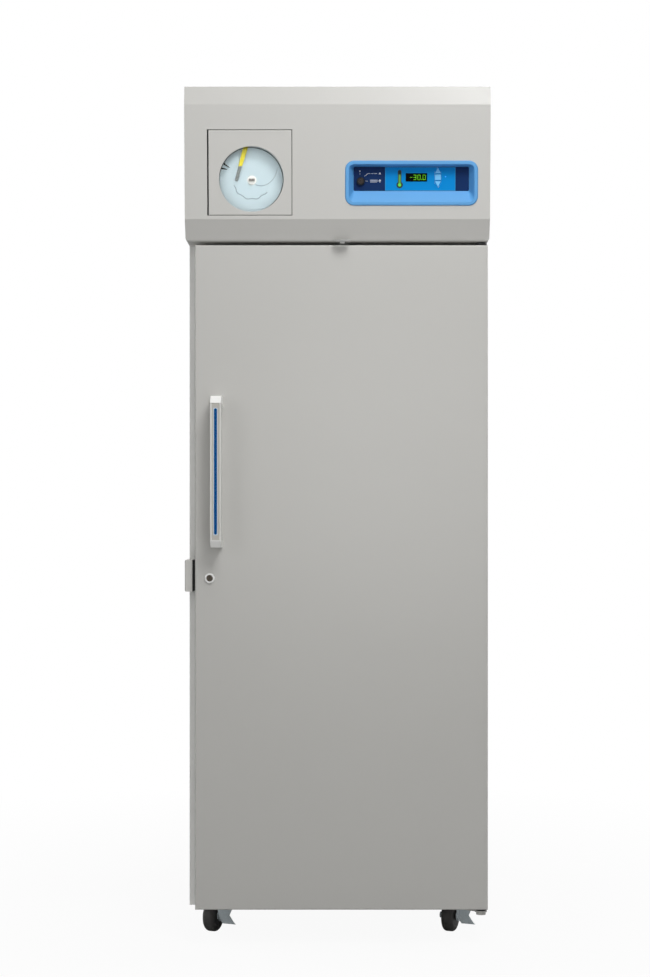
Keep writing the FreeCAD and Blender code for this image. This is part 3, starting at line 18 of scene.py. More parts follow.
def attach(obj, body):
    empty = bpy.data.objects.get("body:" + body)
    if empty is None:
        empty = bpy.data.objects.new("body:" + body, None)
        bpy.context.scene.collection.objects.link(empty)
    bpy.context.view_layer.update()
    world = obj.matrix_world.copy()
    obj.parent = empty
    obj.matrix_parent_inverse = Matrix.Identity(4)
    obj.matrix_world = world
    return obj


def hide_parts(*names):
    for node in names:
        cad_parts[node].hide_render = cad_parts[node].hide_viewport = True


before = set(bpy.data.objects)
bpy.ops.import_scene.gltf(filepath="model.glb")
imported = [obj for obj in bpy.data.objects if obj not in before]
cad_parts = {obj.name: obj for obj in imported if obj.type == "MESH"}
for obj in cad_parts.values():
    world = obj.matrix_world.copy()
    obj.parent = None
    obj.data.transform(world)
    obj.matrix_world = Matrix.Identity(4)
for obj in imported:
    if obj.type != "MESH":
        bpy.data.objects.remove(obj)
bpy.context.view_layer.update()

LOG = logging.getLogger("freezer")
Row = tuple[float, ...]
Pair = tuple[float, float]
Point = tuple[float, float, float]
Colour = tuple[float, float, float]
Socket = bpy.types.NodeSocket

FINE = 4.0  # octaves of a fine noise
GRAIN = 3.0  # octaves of a surface's grain
COMMON = (0.3, 0.7)  # where most values of a noise lie
PATCH_SIZE = 8.0  # the size of a patch of pale edge (wear and painted highlight) over the edge's radius
PATCHES = (0.4, 0.65)  # the values of the noise between which the pale edge sets in
EDGE_TURN = (0.75, 0.99)  # cosine between the rounded and the flat normal, at an edge and off it
PALER = 0.35  # how far the pale edge, wear and painted highlight, goes toward white
ROUGH_PATCHES = 6.0  # patches of roughness across one cloud
BEVEL_ANGLE = math.radians(30.0)  # edges sharper than this are rounded
SMOOTH_ANGLE = math.radians(35.0)  # edges sharper than this stay sharp


def shade(red: float, green: float, blue: float) -> Colour:
    """Turns a display colour into a linear one.

    Args:
        red, green, blue: The display colour, each from 0 to 255.

    Returns:
        The same colour as linear light.
    """
    def linear(value: float) -> float:
        part = value / 255
        return part / 12.92 if part <= 0.04045 else ((part + 0.055) / 1.055) ** 2.4
    return linear(red), linear(green), linear(blue)


class Axis(Enum):
    """The direction of a rod or of a brushed grain."""

    X = (0.0, 90.0, 0.0)
    Y = (90.0, 0.0, 0.0)
    Z = (0.0, 0.0, 0.0)

    def turn(self) -> tuple[float, float, float]:
        """Gives the turn from Z to this axis in radians."""
        return tuple(math.radians(angle) for angle in self.value)


@dataclass(frozen=True)
class FacePlane:
    """The leaning front of the header: x to the right, y up along it, z out of it."""

    bottom_y: float = -0.4415
    bottom_z: float = 1.702
    lean: float = math.atan2(17.0, 263.0)

    def matrix(self) -> Matrix:
        """Gives the move from the plane's own axes to the frame's."""
        turn = Matrix.Rotation(math.pi / 2 + self.lean, 4, "X")
        return Matrix.Translation((0.0, self.bottom_y, self.bottom_z)) @ turn

    def mapping(self) -> tuple[Point, Point]:
        """Gives the location and rotation of a Mapping node that undoes the plane's matrix."""
        back = self.matrix().inverted()
        return tuple(back.translation), tuple(back.to_euler())


FACE = FacePlane()


class Nodes:
    """The node tree of a material or of the world."""

    def __init__(self, owner: bpy.types.Material | bpy.types.World) -> None:
        """Starts with an empty tree.

        Args:
            owner: The material or world.
        """
        owner.use_nodes = True
        self.tree = owner.node_tree
        self.tree.nodes.clear()

    def node(self, kind: str, inputs: dict[int | str, object], **options: object) -> bpy.types.Node:
        """Adds a node.

        Args:
            kind: The node's type.
            inputs: Values or sources for its inputs, by name or number.
            options: The node's own settings.

        Returns:
            The new node.
        """
        new = self.tree.nodes.new(kind)
        for name, value in options.items():
            setattr(new, name, value)
        for key, value in inputs.items():
            if isinstance(value, Socket):
                self.tree.links.new(value, new.inputs[key])
            else:
                new.inputs[key].default_value = value
        return new

    def maths(self, operation: str, *values: float | Socket) -> Socket:
        """Gives the result of a sum on numbers or sockets."""
        return self.node("ShaderNodeMath", dict(enumerate(values)), operation=operation).outputs[0]

    def seen(self) -> Socket:
        """Gives 1 for the camera's rays and for those that pass through a pane, and 0 for others."""
        rays = self.node("ShaderNodeLightPath", {}).outputs
        return self.maths("MAXIMUM", rays["Is Camera Ray"], rays["Is Transmission Ray"])


class Board(Nodes):
    """A material's node tree round one main shader."""

    def __init__(self, name: str) -> None:
        """Starts a material.

        Args:
            name: The material's name.
        """
        self.material = bpy.data.materials.new(name)
        super().__init__(self.material)
        self.shader = self.node("ShaderNodeBsdfPrincipled", {})
        self.node("ShaderNodeOutputMaterial", {"Surface": self.shader.outputs["BSDF"]})
        self.place = self.node("ShaderNodeTexCoord", {}).outputs["Object"]

    def set(self, **values: float | Sequence[float]) -> None:
        """Sets the shader's own sockets; an underscore stands for a space in a socket's name."""
        for name, value in values.items():
            self.shader.inputs[name.replace("_", " ")].default_value = value

    def feed(self, socket: str, source: Socket) -> None:
        """Joins a value to a socket of the shader."""
        self.tree.links.new(source, self.shader.inputs[socket])

    def mapped(self, move: Point = (0, 0, 0), turn: Point = (0, 0, 0), scale: Point = (1, 1, 1)) -> Socket:
        """Gives the object coordinates, scaled, turned and moved."""
        inputs = {"Vector": self.place, "Location": move, "Rotation": turn, "Scale": scale}
        return self.node("ShaderNodeMapping", inputs).outputs[0]

    def split(self, vector: Socket) -> Sequence[Socket]:
        """Gives the three parts of a vector."""
        return self.node("ShaderNodeSeparateXYZ", {0: vector}).outputs

    def on_face(self) -> Sequence[Socket]:
        """Gives the place on the header's face: across, up along it and out of it."""
        return self.split(self.mapped(*FACE.mapping()))

    def noise(self, size: float, detail: float = 2.0, vector: Socket | None = None) -> Socket:
        """Gives a soft noise from 0 to 1 whose spots are about the given size in metres."""
        inputs = {"Vector": vector or self.place, "Scale": 1 / size, "Detail": detail}
        return self.node("ShaderNodeTexNoise", inputs).outputs[0]

    def times(self, *values: float | Socket) -> Socket:
        """Gives a product, which is 1 for two tests where both hold."""
        return self.maths("MULTIPLY", *values)

    def apart(self, value: Socket, other: float | Socket) -> Socket:
        """Gives how far two values are apart."""
        return self.maths("ABSOLUTE", self.maths("SUBTRACT", value, other))

    def below(self, value: Socket, level: float | Socket) -> Socket:
        """Gives 1 where a value is below a level."""
        return self.maths("LESS_THAN", value, level)

    def within(self, value: Socket, low: float, high: float) -> Socket:
        """Gives 1 where a value lies between two bounds."""
        return self.times(self.maths("GREATER_THAN", value, low), self.below(value, high))

    def spread(self, source: Socket, low: float, high: float, start: float = 0.0, end: float = 1.0) -> Socket:
        """Gives a value moved from the range start to end to the range low to high."""
        inputs = {"Value": source, "From Min": start, "From Max": end, "To Min": low, "To Max": high}
        return self.node("ShaderNodeMapRange", inputs).outputs[0]

    def mix(self, amount: float | Socket, *colours: Colour | Socket) -> Socket:
        """Gives a mix of two colours."""
        first, second = (part if isinstance(part, Socket) else (*part, 1.0) for part in colours)
        return self.node("ShaderNodeMix", {0: amount, 6: first, 7: second}, data_type="RGBA").outputs[2]

    def rounded(self, radius: float) -> Socket:
        """Gives the surface's normal as if its edges had a radius in metres."""
        return self.node("ShaderNodeBevel", {"Radius": radius}, samples=4).outputs[0]

    def edges(self, radius: float) -> Socket:
        """Gives 1 along the edges and 0 on the flats, broken up by noise.

        Args:
            radius: How far the pale edge, wear and painted highlight, reaches from an edge.

        Returns:
            The pale edge, wear and painted highlight, from 0 to 1.
        """
        normals = {0: self.rounded(radius), 1: self.node("ShaderNodeNewGeometry", {}).outputs["Normal"]}
        turn = self.node("ShaderNodeVectorMath", normals, operation="DOT_PRODUCT").outputs["Value"]
        patchy = self.spread(self.noise(radius * PATCH_SIZE, FINE), 0.0, 1.0, *PATCHES)
        return self.times(self.spread(turn, 1.0, 0.0, *EDGE_TURN), patchy)

    def bump(self, height: Socket, distance: float, edge: float) -> None:
        """Raises the surface by a height from 0 to 1 times a distance in metres, with softened edges."""
        inputs = {"Height": height, "Distance": distance, "Normal": self.rounded(edge)}
        self.feed("Normal", self.node("ShaderNodeBump", inputs).outputs[0])


@dataclass(frozen=True)
class Finish:
    """A finish with two near tones, a roughness that varies a little, and a fine bump."""

    name: str
    tone: Colour
    depth: float = 0.06
    cloud: float = 0.25
    rough: float = 0.45
    rough_spread: float = 0.06
    grain: float = 0.002
    relief: float = 2e-5
    metallic: float = 0.0
    shine: float = 0.5
    wear_and_highlight: float = 0.35
    edge: float = 0.0007

    def make(self) -> bpy.types.Material:
        """Builds the material.

        Returns:
            The material.
        """
        board = Board(self.name)
        board.set(Metallic=self.metallic, Specular_IOR_Level=self.shine)
        self.colour(board)
        self.texture(board)
        return board.material

    def colour(self, board: Board) -> None:
        """Feeds the colour: the tone with slow, faint clouds, paler along the edges as wear and painted
        highlight.
        """
        board.feed("Base Color", self.worn_and_highlit(board))

    def clouded(self, board: Board) -> Socket:
        """Gives the tone with slow, faint clouds."""
        dark = tuple(part * (1 - self.depth) for part in self.tone)
        return board.mix(board.noise(self.cloud), dark, self.tone)

    def worn_and_highlit(self, board: Board) -> Socket:
        """Gives the clouded tone, paler along the edges as wear and painted highlight."""
        pale = tuple(part + (1 - part) * PALER for part in self.tone)
        # The edges are painted paler: partly wear, partly painted highlight where light catches them.
        return board.mix(board.times(board.edges(self.edge), self.wear_and_highlight), self.clouded(board), pale)

    def roughness(self, board: Board, pattern: Socket, *common: float) -> None:
        """Feeds a roughness that follows a pattern, whose common values may be narrower than 0 to 1."""
        low, high = self.rough - self.rough_spread, self.rough + self.rough_spread
        board.feed("Roughness", board.spread(pattern, low, high, *common))

    def texture(self, board: Board) -> None:
        """Feeds the roughness and the bump."""
        self.roughness(board, board.noise(self.cloud / ROUGH_PATCHES, FINE), *COMMON)
        board.bump(board.noise(self.grain, GRAIN), self.relief, self.edge)


@dataclass(frozen=True)
class BrushedFinish(Finish):
    """Metal with a brushed or rolled grain along one axis."""

    along: Axis = Axis.X
    metallic: float = 1.0
    stretch: float = 0.02

    def texture(self, board: Board) -> None:
        """Feeds long streaks to the roughness and the bump."""
        scale = tuple(self.stretch if axis is self.along else 1.0 for axis in Axis)
        streaks = board.noise(self.grain, FINE, board.mapped(scale=scale))
        self.roughness(board, streaks, *COMMON)
        board.bump(streaks, self.relief, self.edge)


@dataclass(frozen=True)
class CellFinish(Finish):
    """Foam with round cells."""

    def texture(self, board: Board) -> None:
        """Feeds cells to the roughness and the bump."""
        inputs = {"Vector": board.place, "Scale": 1 / self.grain}
        cells = board.node("ShaderNodeTexVoronoi", inputs).outputs["Distance"]
        self.roughness(board, cells)
        board.bump(cells, self.relief, self.edge)


@dataclass(frozen=True)
class GlowFinish(Finish):
    """A lit print or lamp."""

    glow: float = 1.0

    def colour(self, board: Board) -> None:
        """Sets the glow of the tone."""
        board.set(Base_Color=(*self.tone, 1.0), Emission_Color=(*self.tone, 1.0), Emission_Strength=self.glow)


@dataclass(frozen=True)
class ClearFinish(Finish):
    """A clear pane."""

    bend: float = 1.1
    film: Pair = (0.4, 0.8)

    def colour(self, board: Board) -> None:
        """Sets a pane that lets light straight through."""
        board.set(Base_Color=(*self.tone, 1.0), Transmission_Weight=1.0, IOR=self.bend)

    def texture(self, board: Board) -> None:
        """Feeds a faint film of dust to the roughness."""
        board.feed("Roughness", board.spread(board.noise(self.cloud, FINE), 0.0, self.rough, *self.film))


@dataclass(frozen=True)
class PanelFinish(Finish):
    """The printed control plate: a bright field with a pale border between two dark ends."""

    across: Pair = (0.1115, 0.2755)
    upright: Pair = (0.068, 0.1218)
    line: float = 0.0008
    dark: Colour = shade(20, 48, 94)
    border: Colour = shade(70, 168, 226)

    def colour(self, board: Board) -> None:
        """Feeds the two dark ends, the bright field and its border."""
        x, up, _ = board.on_face()
        (left, right), (low, high), line = self.across, self.upright, self.line
        outer = board.times(board.within(x, left, right), board.within(up, low, high))
        inside = board.within(x, left + line, right - line)
        inner = board.times(inside, board.within(up, low + line, high - line))
        lined = board.mix(inner, self.border, self.clouded(board))
        board.feed("Base Color", board.mix(outer, self.dark, lined))


@dataclass(frozen=True)
class KeyFinish(Finish):
    """Key film printed with a pale arrow up, a bar and an arrow down on the plate's blue."""

    middle: Pair = (0.2348, 0.0988)
    bar: Pair = (0.0067, 0.0063)
    arrow: Pair = (0.0093, 0.0218)
    slope: float = 0.54
    ground: Colour = shade(4, 142, 218)

    def colour(self, board: Board) -> None:
        """Feeds the pale marks and the blue ground."""
        aside, off = (board.apart(part, middle) for part, middle in zip(board.on_face(), self.middle))
        bar = board.times(board.below(aside, self.bar[0]), board.below(off, self.bar[1]))
        reach = board.times(board.maths("SUBTRACT", self.arrow[1], off), self.slope)
        arrow = board.times(board.below(aside, reach), board.within(off, *self.arrow))
        lit = board.maths("MAXIMUM", bar, arrow)
        board.feed("Base Color", board.mix(lit, self.ground, self.clouded(board)))


@dataclass(frozen=True)
class FlangeFinish(Finish):
    """The cabinet paint, with painted light on the flange beside the door: the front strip is painted paler
    to stand in for light falling on it.
    """

    flange: float = -0.343
    # Painted light: the flange's front gets this paler tone in place of brighter lighting.
    pale: Colour = shade(251, 251, 248)

    def colour(self, board: Board) -> None:
        """Feeds the paint, and the painted light on the flange."""
        back = board.maths("GREATER_THAN", board.split(board.place)[1], self.flange)
        board.feed("Base Color", board.mix(back, self.pale, self.worn_and_highlit(board)))


@dataclass(frozen=True)
class ChartFinish(Finish):
    """Chart paper with printed rings, bowed time lines and a drawn trace."""

    centre: Pair = (-0.2, 0.0925)
    ring_step: float = 0.0046
    line: float = 0.0004
    arcs: int = 48
    bow: float = 9.0
    printed: Pair = (0.016, 0.0745)
    ink: Colour = shade(126, 168, 192)
    ink_strength: float = 0.5
    trace: Colour = shade(70, 84, 94)
    trace_strength: float = 0.6
    trace_line: float = 0.0011
    trace_radius: float = 0.0435
    trace_ripple: float = 0.0016
    ripples: float = 11.0
    held_angles: Pair = (0.26, 2.5)
    fall_angles: Pair = (2.3, 3.6)
    fall_radii: Pair = (0.013, 0.066)

    def colour(self, board: Board) -> None:
        """Feeds the rings, the time lines and the trace."""
        dx, dy = (board.maths("SUBTRACT", part, middle) for part, middle in zip(board.on_face(), self.centre))
        radius = board.maths("SQRT", board.maths("ADD", board.times(dx, dx), board.times(dy, dy)))
        ring = board.below(board.maths("MODULO", radius, self.ring_step), self.line)
        angle = board.maths("ADD", board.maths("ARCTAN2", dy, dx), math.pi)
        bent = board.maths("ADD", angle, board.times(radius, self.bow))
        across = board.times(board.maths("MODULO", bent, 2 * math.pi / self.arcs), radius)
        lines = board.maths("MAXIMUM", ring, board.below(across, self.line))
        inked = board.times(board.times(lines, board.within(radius, *self.printed)), self.ink_strength)
        paper = board.mix(inked, self.clouded(board), self.ink)
        wave = board.times(board.maths("SINE", board.times(angle, self.ripples)), self.trace_ripple)
        around = board.apart(radius, board.maths("ADD", wave, self.trace_radius))
        held = board.times(board.below(around, self.trace_line), board.within(angle, *self.held_angles))
        turn = board.apart(angle, board.spread(radius, *self.fall_angles, *self.fall_radii))
        aside = board.below(board.times(turn, radius), self.trace_line)
        fallen = board.times(aside, board.within(radius, *self.fall_radii))
        drawn = board.times(board.maths("MAXIMUM", held, fallen), self.trace_strength)
        board.feed("Base Color", board.mix(drawn, paper, self.trace))


@dataclass(frozen=True)
class SplitFinish(Finish):
    """Two tones, the second below a level along one axis of the header's face."""

    second: Colour = shade(120, 124, 122)
    axis: int = 1
    level: float = 0.0
    fray: float = 0.001
    fray_size: float = 0.004

    def colour(self, board: Board) -> None:
        """Feeds the two tones."""
        frayed = board.spread(board.noise(self.fray_size), -self.fray, self.fray)
        along = board.maths("ADD", board.on_face()[self.axis], frayed)
        above = board.maths("GREATER_THAN", along, self.level)
        board.feed("Base Color", board.mix(above, self.second, self.clouded(board)))


@dataclass(frozen=True)
class HandleFinish(Finish):
    """The grip: pale raised edges, a greyer groove, a pale blue line round the inlay, and ends painted paler
    as painted highlight.
    """

    middle: float = -0.2815
    groove: float = 0.0088
    halo: float = 0.0046
    front: float = -0.47
    span: Pair = (0.955, 1.272)
    halo_span: Pair = (0.9665, 1.2605)
    inner: Colour = shade(186, 183, 176)
    line: Colour = shade(196, 216, 232)
    # Painted highlight: the ends above and below the span get this paler tone, standing for light that
    # catches them.
    end: Colour = shade(246, 246, 243)

    def colour(self, board: Board) -> None:
        """Feeds the painted highlight on the ends, and the tones of the front, the groove and the line."""
        x, y, z = board.split(board.place)
        off, between = board.apart(x, self.middle), board.within(z, *self.span)
        front = board.times(board.below(y, self.front), between)
        groove = board.times(board.below(off, self.groove), front)
        halo = board.times(board.below(off, self.halo), board.within(z, *self.halo_span))
        grooved = board.mix(groove, board.mix(between, self.end, self.worn_and_highlit(board)), self.inner)
        board.feed("Base Color", board.mix(board.times(halo, front), grooved, self.line))


@dataclass(frozen=True)
class PerforatedFinish(BrushedFinish):
    """Sheet metal with rows of small round holes in its upright walls."""

    pitch: float = 0.024
    hole: float = 0.0045
    steep: float = 0.5
    dark: Colour = shade(38, 39, 42)

    def colour(self, board: Board) -> None:
        """Feeds the dark holes on the sheet's colour."""
        x, y, z = board.split(board.place)
        normal = board.split(board.node("ShaderNodeNewGeometry", {}).outputs["True Normal"])[2]
        upright = board.below(board.maths("ABSOLUTE", normal), self.steep)
        offsets = [board.maths("PINGPONG", along, self.pitch / 2) for along in (board.maths("ADD", x, y), z)]
        squares = [board.times(offset, offset) for offset in offsets]
        near = board.below(board.maths("ADD", *squares), self.hole * self.hole)
        board.feed("Base Color", board.mix(board.times(near, upright), self.worn_and_highlit(board), self.dark))


SHEET = (shade(203, 202, 198), 0.025, 0.5, 0.36, 0.04, 0.0016, 1.2e-5)
STEEL = (shade(206, 208, 210), 0.05, 0.2, 0.36, 0.07, 0.0012, 1e-5, 0.7)
PAINT = Finish("cabinet_paint", *SHEET)
FLANGE = FlangeFinish("shell_paint_with_painted_light", *SHEET)
# Painted shade: behind the face level, the recorder door's back and the inner wall of its window are near
# black, deepening the shadow in the recess.
LID = SplitFinish("lid_paint_and_painted_shade", *SHEET, second=shade(30, 31, 33), axis=2, level=-0.0012, fray=0.0)
DOOR_PAINT = Finish("door_paint", shade(196, 195, 191), 0.03, 0.6, 0.34, 0.04, 0.0016, 1.2e-5)
LINER = Finish("liner_white", shade(236, 236, 232), 0.03, 0.3, 0.35, 0.05, 0.0022, 1e-5)
FOAM = CellFinish("foam", shade(226, 200, 128), 0.2, 0.03, 0.9, 0.05, 0.0022, 0.0003)
DARK_STEEL = Finish("black_enamel", shade(32, 33, 36), 0.25, 0.08, 0.38, 0.08, 0.004, 4e-5)
STAINLESS = BrushedFinish("stainless", *STEEL)
BASKET = PerforatedFinish("drawer_sheet", *STEEL)
LABEL = Finish("label_card", shade(238, 238, 232), 0.06, 0.01, 0.7, 0.05, 0.0006, 1e-5, wear_and_highlight=0.0)
ZINC = BrushedFinish("zinc", shade(226, 238, 243), 0.2, 0.005, 0.36, 0.1, 0.003, 2e-5, 0.2, along=Axis.Z)
CHROME = Finish("chrome", shade(250, 250, 248), 0.02, 0.02, 0.3, 0.04, 0.003, 4e-6, 0.2)
COPPER = Finish("copper", shade(196, 118, 82), 0.3, 0.03, 0.32, 0.1, 0.004, 2e-5, 1.0)
FINS = BrushedFinish("fins", shade(196, 198, 202), 0.1, 0.03, 0.34, 0.08, 0.002, 2e-5, along=Axis.Z)
BEZEL = Finish("bezel_blue", shade(94, 166, 226), 0.05, 0.05, 0.38, 0.05, 0.0007, 8e-6)
PANEL = PanelFinish("panel_print", shade(4, 142, 218), 0.06, 0.05, 0.4, 0.04, 0.0006, 4e-6, shine=0.08)
KEYS = KeyFinish("key_film", shade(128, 204, 252), 0.06, 0.006, 0.42, 0.05, 0.0006, 6e-6, shine=0.1)
DISPLAY = Finish("display_glass", shade(2, 3, 3), 0.3, 0.02, 0.2, 0.03, 0.004, 2e-6, shine=0.03, wear_and_highlight=0.0)
GLASS = ClearFinish("window_pane", (0.96, 0.98, 0.98), rough=0.03)
BLACK = Finish("black_plastic", shade(24, 24, 26), 0.2, 0.01, 0.42, 0.08, 0.0006, 1.5e-5, 0.0, 0.3, 0.1)
GASKET = Finish("gasket", shade(126, 127, 126), 0.12, 0.03, 0.6, 0.06, 0.001, 3e-5)
GRIP = HandleFinish("grip_plastic", shade(222, 222, 218), 0.03, 0.06, 0.4, 0.06, 0.0007, 1e-5, edge=0.0015)
INLAY = Finish("inlay_blue", shade(6, 80, 142), 0.1, 0.03, 0.28, 0.05, 0.001, 5e-6, shine=0.2, wear_and_highlight=0.0)
CHART = ChartFinish("chart_paper", shade(194, 207, 211), 0.05, 0.05, rough=0.7, grain=0.0004, relief=8e-6)
ARM = SplitFinish("pen_arm", shade(222, 204, 34), rough=0.45, grain=0.001, relief=1e-5, level=0.1245)
# Near black: partly the recorder case's own dark plastic, partly painted shade that keeps light out of the
# chart's recess; it also colours the window's painted shade ring.
RECESS = Finish("recess_black_and_painted_shade", shade(30, 31, 33), 0.15, 0.02, 0.5, 0.06, 0.001, 2e-5)
HUB = SplitFinish("hub_plastic", shade(132, 126, 120), 0.1, 0.004, 0.4, 0.05, 0.0006, 1e-5,
                  second=shade(236, 233, 228), axis=2, level=-0.0192, fray=0.0)
SENSOR = Finish("sensor_grey", shade(160, 160, 158), 0.08, 0.01, 0.5, 0.05, 0.0008, 2e-5)
TREAD = Finish("tread_rubber", shade(84, 83, 81), 0.3, 0.006, 0.5, 0.1, 0.0012, 0.0001)
WHEEL_HUB = Finish("hub_nylon", shade(52, 52, 54), 0.2, 0.01, 0.5, 0.08, 0.0008, 3e-5)
CORE = Finish("lock_core", shade(112, 104, 94), 0.2, 0.004, 0.3, 0.06, 0.0006, 1e-5, 0.8)
SWITCH_CORE = Finish("switch_core", shade(58, 50, 46), 0.2, 0.004, 0.34, 0.06, 0.0006, 1e-5, 0.6)
HINGE = Finish("hinge_steel", shade(44, 44, 46), 0.2, 0.02, 0.45, 0.08, 0.002, 3e-5)
LIT_GREEN = GlowFinish("digit_glow", shade(120, 226, 20), glow=0.8)
BULB_GREEN = GlowFinish("bulb_glow", shade(96, 206, 60), glow=0.25)
STEM_GREEN = Finish("stem_green", shade(104, 176, 70), 0.2, 0.003, 0.5)
LAMP_BLUE = GlowFinish("lamp_blue", shade(50, 160, 240), glow=0.3)
MARK_WHITE = Finish("mark_white", shade(225, 230, 238), 0.1, 0.003, 0.5, 0.05, 0.0005, 5e-6)
MARK_BLACK = Finish("mark_black", shade(8, 40, 22), 0.2, 0.003, 0.5, 0.05, 0.0005, 5e-6)
SLEEVE = CellFinish("foam_sleeve", shade(30, 30, 31), 0.2, 0.01, 0.85, 0.08, 0.0012, 0.0002)
SCREW = BrushedFinish("screw_zinc", shade(190, 190, 186), 0.1, 0.01, 0.32, 0.08, 0.0008, 1e-5, along=Axis.Z)


@lru_cache(maxsize=None)
def material(finish: Finish) -> bpy.types.Material:
    """Gives a finish's material, built once."""
    return finish.make()


def dress(finish: Finish, *nodes: str) -> None:
    """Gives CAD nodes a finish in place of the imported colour.

    Args:
        finish: The finish.
        nodes: The names of the nodes.
    """
    for name in nodes:
        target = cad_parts[name]
        if not target.material_slots:
            target.data.materials.append(material(finish))
        for place in target.material_slots:
            place.material = material(finish)
        LOG.info("dressed %s with %s", name, finish.name)


class Work:
    """A new piece, shaped in edit mode as by hand."""

    def __init__(self, name: str) -> None:
        """Starts a piece from the primitive that was just added.

        Args:
            name: The piece's name.
        """
        self.piece = bpy.context.view_layer.objects.active
        self.piece.name = name
        self.apply()

    @staticmethod
    def clear() -> None:
        """Leaves nothing selected, out of edit mode."""
        if bpy.context.object and bpy.context.object.mode != "OBJECT":
            bpy.ops.object.mode_set(mode="OBJECT")
        bpy.ops.object.select_all(action="DESELECT")

    @classmethod
    def block(cls, name: str, low: Point, high: Point) -> Self:
        """Starts from a cube between two corners.

        Args:
            name: The piece's name.
            low: The lowest corner.
            high: The highest corner.

        Returns:
            The work.
        """
        cls.clear()
        middle = [(a + b) / 2 for a, b in zip(low, high)]
        size = [b - a for a, b in zip(low, high)]
        bpy.ops.mesh.primitive_cube_add(size=1, location=middle, scale=size)
        return cls(name)

    @classmethod
    def rod(cls, name: str, middle: Point, radius: float, length: float, axis: Axis, sides: int = 32) -> Self:
        """Starts from a cylinder.

        Args:
            name: The piece's name.
            middle: The middle of the cylinder.
            radius: Its radius.
            length: Its length.
            axis: The way that it runs.
            sides: The number of its side faces.

        Returns:
            The work.
        """
        cls.clear()
        bpy.ops.mesh.primitive_cylinder_add(
            vertices=sides, radius=radius, depth=length, location=middle, rotation=axis.turn()
        )
        return cls(name)

    @classmethod
    def ring(cls, name: str, middle: Point, radius: float, thickness: float, axis: Axis, sides: int) -> Self:
        """Starts from a torus.

        Args:
            name: The piece's name.
            middle: The middle of the torus.
            radius: The radius of its middle line.
            thickness: The diameter of its tube.
            axis: The way that its hole runs.
            sides: The number of its steps.

        Returns:
            The work.
        """
        cls.clear()
        bpy.ops.mesh.primitive_torus_add(
            major_segments=sides,
            minor_segments=12,
            major_radius=radius,
            minor_radius=thickness / 2,
            location=middle,
            rotation=axis.turn(),
        )
        return cls(name)

    def activate(self) -> None:
        """Makes the piece the only selected one."""
        self.clear()
        self.piece.select_set(True)
        bpy.context.view_layer.objects.active = self.piece

    def apply(self) -> Self:
        """Puts the piece's place, turn and size in its mesh."""
        self.activate()
        bpy.ops.object.transform_apply(location=True, rotation=True, scale=True)
        return self

    def pick(self, test: Callable[[Vector, Vector], bool]) -> Self:
        """Selects faces and enters edit mode.

        Args:
            test: Tells from a face's middle and normal whether it is selected.

        Returns:
            The work, in edit mode.
        """
        self.activate()
        mesh = self.piece.data
        for part in (*mesh.vertices, *mesh.edges):
            part.select = False
        for polygon in mesh.polygons:
            polygon.select = test(polygon.center, polygon.normal)
        bpy.ops.object.mode_set(mode="EDIT")
        bpy.ops.mesh.select_mode(type="FACE")
        return self

    def inset(self, width: float, depth: float = 0.0) -> Self:
        """Insets the picked faces."""
        bpy.ops.mesh.inset(thickness=width, depth=depth, use_even_offset=True)
        return self

    def extrude(self, move: Point) -> Self:
        """Extrudes the picked faces along a vector."""
        bpy.ops.mesh.extrude_region_move(TRANSFORM_OT_translate={"value": move})
        return self

    def leave(self) -> Self:
        """Leaves edit mode."""
        bpy.ops.object.mode_set(mode="OBJECT")
        return self

    def bevel(self, width: float, segments: int = 2) -> Self:
        """Rounds the sharp edges.

        Args:
            width: The width of the rounding.
            segments: The number of its steps.

        Returns:
            The work.
        """
        self.activate()
        added = self.piece.modifiers.new("Bevel", "BEVEL")
        added.width, added.segments = width, segments
        added.limit_method, added.angle_limit = "ANGLE", BEVEL_ANGLE
        bpy.ops.object.modifier_apply(modifier=added.name)
        return self

    def move(self, matrix: Matrix) -> Self:
        """Moves the mesh by a matrix."""
        self.piece.matrix_world = matrix
        return self.apply()

    def lay(self) -> Self:
        """Moves the mesh from the axes of the header's face to the frame's."""
        return self.move(FACE.matrix())

    def twin(self, matrix: Matrix) -> "Work":
        """Copies the piece, with a mesh of its own, to another place.

        Args:
            matrix: The place.

        Returns:
            The copy's work.
        """
        piece = self.piece.copy()
        piece.data = self.piece.data.copy()
        bpy.context.scene.collection.objects.link(piece)
        self.clear()
        bpy.context.view_layer.objects.active = piece
        piece.select_set(True)
        return Work(piece.name).move(matrix)

    def finish(self, finish: Finish, slot: str, body: str = "cabinet") -> bpy.types.Object:
        """Smooths the piece, gives it its finish and makes it ride on a body.

        Args:
            finish: The finish.
            slot: The record's material slot; not used.
            body: The CAD body that carries the piece.

        Returns:
            The finished piece.
        """
        self.activate()
        bpy.ops.object.shade_smooth_by_angle(angle=SMOOTH_ANGLE)
        self.piece.data.materials.clear()
        self.piece.data.materials.append(material(finish))
        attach(self.piece, body)
        LOG.info("made %s", self.piece.name)
        return self.piece


def join(name: str, works: Sequence[Work]) -> Work:
    """Joins several works into one mesh.

    Args:
        name: The joined piece's name.
        works: The works.

    Returns:
        The joined work.
    """
    Work.clear()
    for work in works:
        work.piece.select_set(True)
    bpy.context.view_layer.objects.active = works[0].piece
    if len(works) > 1:
        bpy.ops.object.join()
    return Work(name)


def scatter(name: str, master: Work, matrices: Sequence[Matrix]) -> Work:
    """Sets copies of one piece at several places and joins them.

    Args:
        name: The joined piece's name.
        master: The piece, modelled at the origin.
        matrices: The places.

    Returns:
        The joined work.
    """
    works = [master.twin(matrix) for matrix in matrices[1:]]
    return join(name, [master.move(matrices[0]), *works])


def facing(place: Point, out: Point) -> Matrix:
    """Gives the matrix that turns +Z to a direction and moves it to a place."""
    turn = Vector(out).to_track_quat("Z", "Y").to_matrix().to_4x4()
    return Matrix.Translation(place) @ turn


